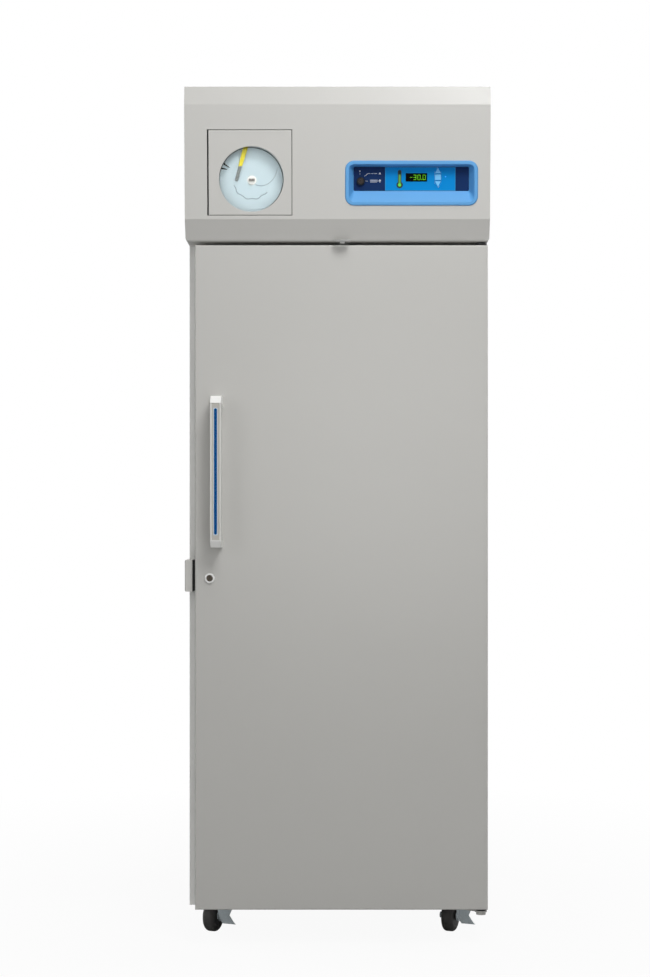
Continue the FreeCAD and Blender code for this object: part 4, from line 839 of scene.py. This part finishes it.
def screw_head(radius: float, height: float, sides: int = 20) -> Work:
    """Makes a domed screw head with a round socket, or a bolt head where it has six sides.

    Args:
        radius: Its radius.
        height: Its height.
        sides: The number of its sides.

    Returns:
        The head, facing +Z from the origin.
    """
    dome, margin, socket = height * 0.3, radius * 0.35, height * 0.45
    head = Work.rod("screw_head", (0.0, 0.0, height / 2), radius, height, Axis.Z, sides).bevel(dome)
    head.pick(lambda middle, normal: normal.z > 0.99 and middle.z > height - dome / 3)
    return head.inset(margin).extrude((0.0, 0.0, -socket)).leave()


@dataclass
class Studio:
    """The pale room, its lights and the camera."""

    camera_place: Point = (0.0, -4.4585, 1.027)
    focal_pixels: float = 1725.0
    picture: tuple[int, int] = (650, 977)
    optical_centre: Pair = (337.4, 509.0)
    sensor: float = 36.0
    floor_low: Point = (-30.0, -30.0, -0.02)
    floor_high: Point = (30.0, 30.0, 0.0)
    floor_grey: Colour = (0.6, 0.6, 0.6)
    room_strength: float = 0.08
    mirror_strength: float = 0.4
    floor_glow: float = 0.94
    white_from: float = 0.6
    white_to: float = 2.0
    lamps: list[tuple[str, Point, Point, float, float]] = field(default_factory=lambda: [
        ("key_right", (0.9, -2.5, 3.5), (0.0, -0.45, 1.5), 1.0, 44.0),
        ("key_top", (0.2, -1.9, 4.0), (0.0, -0.4, 1.4), 1.0, 22.0),
        ("fill_left", (-2.6, -3.0, 2.0), (0.0, -0.4, 1.1), 1.6, 16.0),
        ("front", (0.0, -4.6, 2.6), (0.0, -0.4, 1.2), 1.6, 14.0),
        ("low", (0.15, -1.5, 1.1), (0.0, -0.4, 0.9), 0.8, 2.0),
        ("side_right", (3.2, 0.9, 2.6), (0.35, 0.05, 1.1), 1.8, 42.0),
        ("side_left", (-3.2, 0.9, 2.6), (-0.35, 0.05, 1.1), 1.8, 36.0),
        ("back", (0.3, 3.6, 2.8), (0.0, 0.45, 1.2), 2.2, 60.0),
    ])

    def build(self) -> None:
        """Makes the camera, the room and the lamps."""
        self.make_camera()
        self.make_room()
        for lamp in self.lamps:
            self.make_lamp(*lamp)
        LOG.info("studio ready")

    def make_camera(self) -> None:
        """Makes the camera at the photograph's place, with a level line of sight."""
        data = bpy.data.cameras.new("camera")
        data.sensor_fit = "VERTICAL"
        data.sensor_height = self.sensor
        width, height = self.picture
        data.lens = self.focal_pixels * self.sensor / height
        data.shift_x = (width / 2 - self.optical_centre[0]) / height
        data.shift_y = (self.optical_centre[1] - height / 2) / height
        camera = bpy.data.objects.new("camera", data)
        camera.location = self.camera_place
        camera.rotation_euler = (math.pi / 2, 0.0, 0.0)
        bpy.context.scene.collection.objects.link(camera)
        bpy.context.scene.camera = camera

    def make_room(self) -> None:
        """Makes the floor, white where the camera sees it, and the world."""
        work = Work.block("floor", self.floor_low, self.floor_high)
        board = Board("floor_white")
        board.set(Roughness=0.95, Specular_IOR_Level=0.0, Emission_Color=(1.0, 1.0, 1.0, 1.0))
        far = board.node("ShaderNodeVectorMath", {0: board.place}, operation="LENGTH").outputs["Value"]
        glow = board.spread(far, self.floor_glow, 1.0, self.white_from, self.white_to)
        plain = board.times(glow, board.seen())
        board.feed("Base Color", board.mix(plain, self.floor_grey, (0.0, 0.0, 0.0)))
        board.feed("Emission Strength", plain)
        work.piece.data.materials.append(board.material)
        self.make_world()

    def make_world(self) -> None:
        """Makes the room's soft light, brighter in mirrors and white to the camera."""
        world = bpy.data.worlds.new("room")
        nodes = Nodes(world)
        rays = nodes.node("ShaderNodeLightPath", {}).outputs
        light = self.background(nodes, self.room_strength)
        for strength, ray in ((self.mirror_strength, rays["Is Glossy Ray"]), (1.0, nodes.seen())):
            inputs = {0: ray, 1: light, 2: self.background(nodes, strength)}
            light = nodes.node("ShaderNodeMixShader", inputs).outputs[0]
        nodes.node("ShaderNodeOutputWorld", {"Surface": light})
        bpy.context.scene.world = world
        bpy.context.scene.view_settings.view_transform = "Standard"

    @staticmethod
    def background(nodes: Nodes, strength: float) -> Socket:
        """Adds a white background of a given strength."""
        inputs = {"Color": (1.0, 1.0, 1.0, 1.0), "Strength": strength}
        return nodes.node("ShaderNodeBackground", inputs).outputs[0]

    def make_lamp(self, name: str, place: Point, aim: Point, size: float, power: float) -> None:
        """Makes a soft square lamp.

        Args:
            name: The lamp's name.
            place: Where it stands.
            aim: The point that it faces.
            size: The length of its side.
            power: Its power in watts.
        """
        data = bpy.data.lights.new(name, "AREA")
        data.shape = "SQUARE"
        data.size = size
        data.energy = power
        lamp = bpy.data.objects.new(name, data)
        lamp.location = place
        lamp.rotation_euler = (Vector(aim) - Vector(place)).to_track_quat("-Z", "Y").to_euler()
        bpy.context.scene.collection.objects.link(lamp)


@dataclass
class Cabinet:
    """The insulated box, its base and the walls of the machine compartment."""

    half_width: float = 0.3525
    screw: Pair = (0.005, 0.0018)
    screw_levels: Point = (1.685, 1.83, 1.975)
    screw_rows: Point = (-0.29, 0.07, 0.44)
    bracket_bar: tuple[Point, Point] = ((-0.0059, -0.442, 1.6502), (0.0291, -0.428, 1.6542))
    bracket_stem: tuple[Point, Point] = ((0.0055, -0.441, 1.6462), (0.0177, -0.429, 1.6508))

    def build(self) -> None:
        """Dresses the nodes and sets the screws."""
        # The shell's front flange and the base frame's front carry painted light.
        dress(FLANGE, "outer_shell", "base_frame")
        dress(PAINT, "header_panel", "machine_side_panels", "rear_grille", "keeper_cover")
        dress(FOAM, "insulation_foam")
        dress(LINER, "inner_liner")
        dress(BLACK, "keeper_insert")
        dress(SENSOR, "door_sensor")
        places = [
            facing((side * self.half_width, y, z), (side, 0.0, 0.0))
            for side in (-1, 1) for y in self.screw_rows for z in self.screw_levels
        ]
        scatter("side_screws", screw_head(*self.screw), places).finish(SCREW, "zinc")
        self.sensor_bracket()

    def sensor_bracket(self) -> None:
        """Hangs the T-shaped bracket of the door sensor under the header's front."""
        bar = Work.block("bar", *self.bracket_bar).bevel(0.0005)
        stem = Work.block("stem", *self.bracket_stem).bevel(0.0008)
        join("sensor_bracket", [bar, stem]).finish(SENSOR, "black_plastic")


@dataclass
class Recorder:
    """The chart recorder behind its square door."""

    window: Pair = (-0.2, 0.0925)
    rim: Pair = (0.0757, 0.0011)
    rim_level: float = -0.0006
    # A dark ring behind the pane, its middle set off down and to the left so that it shows at the window's
    # top and right: painted shade for the rim's shadow on the chart.
    painted_shade_ring: Pair = (0.0745, 0.0016)
    painted_shade_shift: float = 0.0011
    painted_shade_level: float = -0.0062
    chart_level: float = -0.0222
    collar: Pair = (0.0108, 0.0018)
    clip: Point = (0.008, 0.0022, 0.0012)
    clip_taper: float = 0.3
    clip_places: tuple[Point, ...] = ((-0.0585, 0.0335, 36.0), (-0.0655, 0.0265, 12.0))

    def build(self) -> None:
        """Dresses the nodes and adds the window's rim, a dark ring of painted shade behind the pane, the
        hub's collar and the chart's clips.
        """
        dress(LID, "recorder_door")
        dress(RECESS, "recorder_case")
        dress(GLASS, "recorder_window")
        dress(CHART, "chart_disc")
        dress(HUB, "chart_hub")
        dress(ARM, "pen_arm")
        x, up = self.window
        rim = Work.ring("window_rim", (x, up, self.rim_level), *self.rim, Axis.Z, 96)
        rim.lay().finish(PAINT, "cabinet_paint", "recorder_lid")
        # Painted shade: the dark ring shows inside the window at the top and right.
        middle = (x - self.painted_shade_shift, up - self.painted_shade_shift, self.painted_shade_level)
        painted_shade_ring = Work.ring("window_seal", middle, *self.painted_shade_ring, Axis.Z, 96)
        painted_shade_ring.lay().finish(RECESS, "black_plastic", "recorder_lid")
        collar = Work.rod("hub_collar", (x, up, self.chart_level), *self.collar, Axis.Z, 48)
        collar.bevel(0.0008, 3).lay().finish(HUB, "black_plastic", "chart")
        self.clips()

    def clips(self) -> None:
        """Sets the tapered clips that hold the chart's edge."""
        length, width, height = self.clip
        clip = Work.block("clip", (-length, -width, 0.0), (length, width, height))
        clip.pick(lambda middle, normal: normal.x > 0.9)
        bpy.ops.transform.resize(value=(1.0, self.clip_taper, 1.0))
        clip.leave().bevel(0.0004)
        x, up = self.window
        places = [
            FACE.matrix() @ Matrix.Translation((x + dx, up + dy, self.chart_level))
            @ Matrix.Rotation(math.radians(-angle), 4, "Z")
            for dx, dy, angle in self.clip_places
        ]
        scatter("chart_clips", clip, places).finish(BLACK, "black_plastic")


@dataclass
class ControlPanel:
    """The blue bezel with the display, keys and key switch."""

    display_up: float = 0.0985
    display_level: float = -0.0172
    plate_level: float = -0.018
    figures: tuple[tuple[float, str], ...] = (
        (0.1722, "g"), (0.1806, "abcdg"), (0.1905, "abcdef"), (0.2026, "abcdef"),
    )
    point: Point = (0.19666, 0.00126, 0.0014)
    figure_size: Pair = (0.0056, 0.0054)
    bar: Pair = (0.0007, 0.0002)
    bar_tip: float = 0.32
    bulb_place: Pair = (0.1453, 0.081)
    bulb: Pair = (0.0076, 0.0038)
    stem: Pair = (0.0042, 0.0305)
    fill: Pair = (0.0024, 0.024)
    ink: float = 0.0003
    ink_round: float = 0.0001
    bulb_lift: float = 0.0004
    fill_lift: float = 0.0002
    stroke_size: Pair = (0.0011, 0.0002)
    stroke_round: float = 8e-5
    leaders: tuple[Row, ...] = (
        (0.0634, 0.1009, 0.071, 0.1073), (0.0655, 0.0899, 0.0712, 0.0899), (0.0526, 0.1045, 0.0526, 0.1085),
        (0.071, 0.1073, 0.077, 0.1073), (0.0792, 0.1073, 0.0844, 0.1073), (0.0864, 0.1073, 0.0928, 0.1073),
        (0.0766, 0.0922, 0.0938, 0.0922), (0.0766, 0.09, 0.0962, 0.09), (0.0766, 0.0876, 0.0926, 0.0876),
    )
    icons: tuple[Row, ...] = (
        (0.0992, 0.1073, 0.0034, 3), (0.0992, 0.0912, 0.0024, 20), (0.0526, 0.113, 0.0017, 16),
    )
    bulb_foot: Row = (0.0992, 0.091, 0.0992, 0.0866, 0.0018)
    lamp_place: Pair = (0.2527, 0.1002)
    lamp: Pair = (0.0015, 0.0006)

    def build(self) -> None:
        """Dresses the nodes and prints the marks."""
        dress(BEZEL, "control_bezel")
        dress(PANEL, "control_plate")
        dress(DISPLAY, "display_window")
        dress(KEYS, "key_up", "key_mode", "key_down")
        dress(BLACK, "key_switch_body")
        dress(SWITCH_CORE, "key_switch_plug")
        self.digits()
        self.thermometer()
        self.marks()

    def segment(self, x: float, y: float, length: float, width: float, upright: bool) -> Work:
        """Makes one lit bar of a figure, with pointed ends.

        Args:
            x, y: Its middle.
            length: Its length.
            width: Its width.
            upright: Whether it stands.

        Returns:
            The bar.
        """
        half_x, half_y = (width / 2, length / 2) if upright else (length / 2, width / 2)
        level, top = self.display_level, self.display_level + self.bar[1]
        bar = Work.block("bar", (x - half_x, y - half_y, level), (x + half_x, y + half_y, top))
        return bar.bevel(width * self.bar_tip, 1)

    def figure(self, letters: str, x: float, y: float) -> Iterator[Work]:
        """Makes the lit bars of one figure.

        Args:
            letters: Its bars, by the usual letters: a at the top, then clockwise, and g in the middle.
            x, y: Its middle.

        Yields:
            Its bars.
        """
        (wide, tall), width = self.figure_size, self.bar[0]
        shares = ((0.0, 1.0), (0.5, 0.5), (0.5, -0.5), (0.0, -1.0), (-0.5, -0.5), (-0.5, 0.5), (0.0, 0.0))
        for letter, (aside, up) in zip("abcdefg", shares):
            if letter in letters:
                length = tall if aside else wide
                yield self.segment(x + aside * wide, y + up * tall, length, width, bool(aside))

    def digits(self) -> None:
        """Lights the figures of the display and their point."""
        x, length, width = self.point
        bars = [self.segment(x, self.display_up - self.figure_size[1], length, width, False)]
        for middle, letters in self.figures:
            bars += self.figure(letters, middle, self.display_up)
        join("display_figures", bars).lay().finish(LIT_GREEN, "display_glass")

    def thermometer(self) -> None:
        """Prints the thermometer beside the display."""
        (x, y), level, ink = self.bulb_place, self.plate_level, self.ink
        (ground, radius), (half, tall) = self.bulb, self.stem
        outline = Work.rod("outline", (x, y, level + ink / 2), ground, ink, Axis.Z)
        stem = Work.block("stem", (x - half, y, level), (x + half, y + tall, level + ink))
        stem.bevel(self.ink_round, 1)
        cap = Work.rod("cap", (x, y + tall, level + ink / 2), half, ink, Axis.Z, 20)
        join("thermometer_outline", [outline, stem, cap]).lay().finish(MARK_BLACK, "black_plastic")
        bulb = Work.rod("thermometer_bulb", (x, y, level + self.bulb_lift), radius, ink, Axis.Z)
        bulb.bevel(self.ink_round, 1).lay().finish(BULB_GREEN, "key_rubber")
        (half, tall), level = self.fill, level + self.fill_lift
        fill = Work.block("thermometer_fill", (x - half, y, level), (x + half, y + tall, level + ink))
        fill.bevel(self.ink_round, 1).lay().finish(STEM_GREEN, "key_rubber")

    def stroke(self, x0: float, y0: float, x1: float, y1: float, width: float) -> Work:
        """Makes a printed stroke between two points of the plate.

        Args:
            x0, y0: Its start.
            x1, y1: Its end.
            width: Its width.

        Returns:
            The stroke.
        """
        length = math.hypot(x1 - x0, y1 - y0)
        bar = Work.block("stroke", (0.0, -width / 2, 0.0), (length, width / 2, self.stroke_size[1]))
        turn = Matrix.Rotation(math.atan2(y1 - y0, x1 - x0), 4, "Z")
        return bar.bevel(self.stroke_round, 1).move(Matrix.Translation((x0, y0, self.plate_level)) @ turn)

    def marks(self) -> None:
        """Prints the switch's leader lines with a bell and a bulb, and the small lamp by the keys."""
        width, height = self.stroke_size
        strokes = [self.stroke(*row, width) for row in self.leaders]
        for x, y, size, sides in self.icons:
            middle = (x, y, self.plate_level + height / 2)
            strokes.append(Work.rod("icon", middle, size, height, Axis.Z, sides))
        strokes.append(self.stroke(*self.bulb_foot))
        join("switch_marks", strokes).lay().finish(MARK_WHITE, "panel_print")
        middle = (*self.lamp_place, self.plate_level + self.lamp[1] / 2)
        lamp = Work.rod("panel_lamp", middle, *self.lamp, Axis.Z, 20).bevel(0.0003)
        lamp.lay().finish(LAMP_BLUE, "key_rubber")


@dataclass
class Door:
    """The door with its handle, lock, gasket and inner pan."""

    pan_low: Point = (-0.235, -0.3485, 0.27)
    pan_high: Point = (0.235, -0.3435, 1.47)
    pan_border: float = 0.012
    pan_step: Pair = (0.02, -0.003)

    def build(self) -> None:
        """Dresses the nodes and raises the middle of the inner pan."""
        dress(DOOR_PAINT, "door_shell")
        dress(FOAM, "door_foam")
        dress(LINER, "door_liner")
        dress(GASKET, "door_gasket")
        dress(GRIP, "handle_grip")
        dress(INLAY, "handle_inlay")
        dress(CHROME, "lock_barrel")
        dress(CORE, "lock_plug")
        dress(BLACK, "hinge_bushes")
        dress(HINGE, "hinge_bracket_top")
        dress(PAINT, "hinge_bracket_bottom")
        pan = Work.block("door_inner_panel", self.pan_low, self.pan_high)
        pan.pick(lambda middle, normal: normal.y > 0.9).inset(self.pan_border).inset(*self.pan_step).leave()
        pan.bevel(0.0018, 3).finish(LINER, "white_liner", "door")


@dataclass
class ColdSpace:
    """Drawers, runners and the evaporator."""

    first_card: Point = (0.0, -0.3035, 0.257)
    drawer_pitch: float = 0.2598
    drawers: int = 5
    holder: Point = (0.045, 0.014, 0.002)
    holder_border: float = 0.003
    holder_step: Pair = (0.0006, -0.0012)
    card: Pair = (0.0405, 0.0095)
    card_levels: Pair = (0.0008, 0.0012)
    fan: Point = (0.0, -0.2855, 1.545)
    guard_rings: Row = (0.012, 0.021, 0.03, 0.039)
    guard_wire: float = 0.0016
    spoke: Pair = (0.0009, 0.084)
    spoke_angles: Point = (0.0, 60.0, 120.0)

    def build(self) -> None:
        """Dresses the nodes, and adds the card holders and the fan's guard."""
        dress(STAINLESS, "drawer_slides")
        dress(BASKET, *(f"drawer_{number + 1}" for number in range(self.drawers)))
        dress(FINS, "evaporator_unit")
        dress(BLACK, "evaporator_fan")
        self.card_holders()
        self.fan_guard()

    def card_holders(self) -> None:
        """Sets a framed card on each drawer's front."""
        (half, tall, thick), (low, high) = self.holder, self.card_levels
        holder = Work.block("holder", (-half, -tall, 0.0), (half, tall, thick))
        holder.pick(lambda middle, normal: normal.z > 0.9).inset(self.holder_border).inset(*self.holder_step)
        holder.leave().bevel(0.0004)
        half, tall = self.card
        card = Work.block("card", (-half, -tall, low), (half, tall, high))
        x, y, z = self.first_card
        turn = Matrix.Rotation(math.pi, 4, "Z")
        places = [
            facing((x, y, z + number * self.drawer_pitch), (0.0, -1.0, 0.0)) @ turn
            for number in range(self.drawers)
        ]
        scatter("card_holders", holder, places).finish(SCREW, "stainless")
        scatter("cards", card, places).finish(LABEL, "chart_paper")

    def fan_guard(self) -> None:
        """Makes the wire guard before the evaporator's fan."""
        wire = self.guard_wire
        wires = [Work.ring("wire", self.fan, radius, wire, Axis.Y, 48) for radius in self.guard_rings]
        for angle in self.spoke_angles:
            turn = Matrix.Rotation(math.radians(angle), 4, "Y")
            spoke = Work.rod("spoke", (0.0, 0.0, 0.0), *self.spoke, Axis.Z, 10)
            wires.append(spoke.move(Matrix.Translation(self.fan) @ turn))
        join("fan_guard", wires).finish(SCREW, "stainless")


@dataclass
class Machinery:
    """The refrigeration unit behind the header."""

    sleeve_middle: Point = (0.19, 0.34, 1.68875)
    sleeve: Pair = (0.013, 0.0665)

    def build(self) -> None:
        """Dresses the nodes and wraps the suction line."""
        dress(DARK_STEEL, "compressor", "condenser_shroud")
        dress(FINS, "condenser_coil", "condenser_fan")
        dress(COPPER, "refrigerant_lines")
        dress(LINER, "electrical_box")
        sleeve = Work.rod("suction_sleeve", self.sleeve_middle, *self.sleeve, Axis.Z, 28)
        sleeve.bevel(0.002).finish(SLEEVE, "black_plastic")


@dataclass
class Caster:
    """One swivel caster."""

    name: str
    place: Pair
    yaw: float
    trail: float = 0.039
    radius: float = 0.038
    tyre_size: Pair = (0.0379, 0.0298)
    shoulder: float = 0.0095
    tyre_border: float = 0.002
    tyre_groove: Pair = (0.0008, -0.001)
    hub_size: Pair = (0.0225, 0.028)
    hub_steps: tuple[Pair, ...] = ((0.0028, 0.0), (0.0015, -0.0085), (0.0078, 0.0), (0.0006, 0.0105))

    def matrix(self) -> Matrix:
        """Gives the move from the wheel's own axes to its corner."""
        corner = Matrix.Translation((*self.place, 0.0)) @ Matrix.Rotation(math.radians(self.yaw), 4, "Z")
        return corner @ Matrix.Translation((self.trail, 0.0, self.radius))

    def tyre(self) -> Work:
        """Makes the round-shouldered tyre about the origin.

        Returns:
            The tyre.
        """
        tyre = Work.rod("tyre", (0.0, 0.0, 0.0), *self.tyre_size, Axis.Y, 64).bevel(self.shoulder, 6)
        tyre.pick(lambda middle, normal: abs(normal.y) > 0.9999)
        return tyre.inset(self.tyre_border).inset(*self.tyre_groove).leave()

    def hub(self) -> Work:
        """Makes the dished hub about the origin.

        Returns:
            The hub.
        """
        hub = Work.rod("hub", (0.0, 0.0, 0.0), *self.hub_size, Axis.Y, 48)
        hub.pick(lambda middle, normal: abs(normal.y) > 0.99)
        for width, depth in self.hub_steps:
            hub.inset(width, depth)
        return hub.leave().bevel(0.0005)


@dataclass
class Pedal:
    """A brake pedal about the wheel's middle: a disc, an arm and a fish-tailed face with rivets."""

    side: float = 0.0218
    thick: float = 0.002
    disc_radius: float = 0.013
    arm: Pair = (0.0245, 0.0145)
    face_place: Point = (0.0225, 0.0, 0.0)
    low: float = -0.0116
    high: float = 0.023
    cuts: int = 9
    inner: Pair = (0.022, 0.013)
    outer: Pair = (0.069, 0.0162)
    notch: float = 0.6
    notch_power: float = 0.8
    tip: float = 0.0155
    rivet: Pair = (0.0024, 0.0022)
    rivet_sink: float = -0.0002
    rivet_places: tuple[Pair, ...] = ((0.0425, 0.012), (0.037, 0.0), (0.0475, 0.0005))

    def reach(self, rise: float) -> float:
        """Gives how far the face reaches, less toward the notch between its two tips.

        Args:
            rise: The share of the face's height, from 0 at the bottom.

        Returns:
            The distance from the wheel's middle.
        """
        far, drop = self.outer
        if rise < self.notch:
            return far - drop * (rise / self.notch) ** self.notch_power
        return far - drop + self.tip * (rise - self.notch)

    def face(self) -> Work:
        """Makes the fish-tailed face from a block that is one unit deep.

        Returns:
            The face.
        """
        face = Work.block("face", (0.0, 0.0, self.low), (self.thick, 1.0, self.high))
        face.pick(lambda middle, normal: True)
        bpy.ops.mesh.subdivide(number_cuts=self.cuts)
        face.leave()
        for vertex in face.piece.data.vertices:
            rise = max(0.0, (vertex.co.z - self.low) / (self.high - self.low))
            near = self.inner[0] + self.inner[1] * (1.0 - rise) ** 2
            vertex.co.y = near + (self.reach(rise) - near) * vertex.co.y
        return face.bevel(0.0006)

    def build(self) -> Work:
        """Joins the face, its rivets, the arm and the disc.

        Returns:
            The pedal.
        """
        parts = [self.face()]
        for y, z in self.rivet_places:
            parts.append(Work.rod("rivet", (self.rivet_sink, y, z), *self.rivet, Axis.X, 20).bevel(0.0008))
        for part in parts:
            part.move(Matrix.Translation(self.face_place))
        disc = Work.rod("disc", (0.0, self.side, 0.0), self.disc_radius, self.thick, Axis.Y, 40).bevel(0.0004)
        (long, tall), half = self.arm, self.thick / 2
        low, high = (0.0, self.side - half, -self.thick), (long, self.side + half, tall - self.thick)
        return join("lever", [disc, Work.block("arm", low, high).bevel(0.0004), *parts])


@dataclass
class Casters:
    """The four swivel casters, the front two with brakes."""

    casters: list[Caster] = field(default_factory=lambda: [
        Caster("front_left", (-0.2885, -0.2215), -110.0),
        Caster("front_right", (0.2885, -0.2215), -110.0),
        Caster("rear_left", (-0.2885, 0.3765), -96.0),
        Caster("rear_right", (0.2885, 0.3765), -118.0),
    ])
    plate_level: float = 0.094
    bolt: Pair = (0.0062, 0.004)
    bolt_square: Pair = (0.022, 0.036)

    def build(self) -> None:
        """Dresses the nodes, replaces the wheels and the brake levers, and sets the bolts."""
        dress(ZINC, "caster_plates", *("caster_fork_" + caster.name for caster in self.casters))
        dress(ZINC, "brake_lever_front_left", "brake_lever_front_right")
        first = self.casters[0]
        self.set_at(first.tyre(), self.casters, TREAD, "tyre", "roller", "wheel_tread", "caster_wheel")
        self.set_at(first.hub(), self.casters, WHEEL_HUB, "hub", "roller", "wheel_tread")
        self.set_at(Pedal().build(), self.casters[:2], ZINC, "pedal", "pedal", "zinc", "brake_lever")
        self.bolts()

    @staticmethod
    def set_at(
        master: Work, casters: Sequence[Caster], finish: Finish,
        kind: str, body: str, slot: str, node: str = "",
    ) -> None:
        """Sets a copy of a piece at each of several casters.

        Args:
            master: The piece, modelled about the wheel's middle. It goes.
            casters: The casters.
            finish: The copies' finish.
            kind: What the copies' names start with.
            body: What their bodies' names start with.
            slot: The record's material slot.
            node: What the names of the CAD nodes that they replace start with, if they replace any.
        """
        for caster in casters:
            work = master.twin(caster.matrix())
            work.piece.name = f"{kind}_{caster.name}"
            piece = work.finish(finish, slot, f"{body}_{caster.name}")
            if node:
                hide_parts(f"{node}_{caster.name}")
        bpy.data.objects.remove(master.piece)

    def bolts(self) -> None:
        """Sets four bolts through each caster's plate."""
        wide, deep = self.bolt_square
        places = [
            facing((caster.place[0] + dx, caster.place[1] + dy, self.plate_level), (0.0, 0.0, -1.0))
            for caster in self.casters for dx in (-wide, wide) for dy in (-deep, deep)
        ]
        scatter("caster_bolts", screw_head(*self.bolt, 6), places).finish(SCREW, "zinc")


def main() -> None:
    """Builds every sub-assembly."""
    logging.basicConfig(level=logging.INFO, format="%(message)s")
    for kind in (Studio, Cabinet, Recorder, ControlPanel, Door, ColdSpace, Machinery, Casters):
        kind().build()


if __name__ == "__main__":
    main()
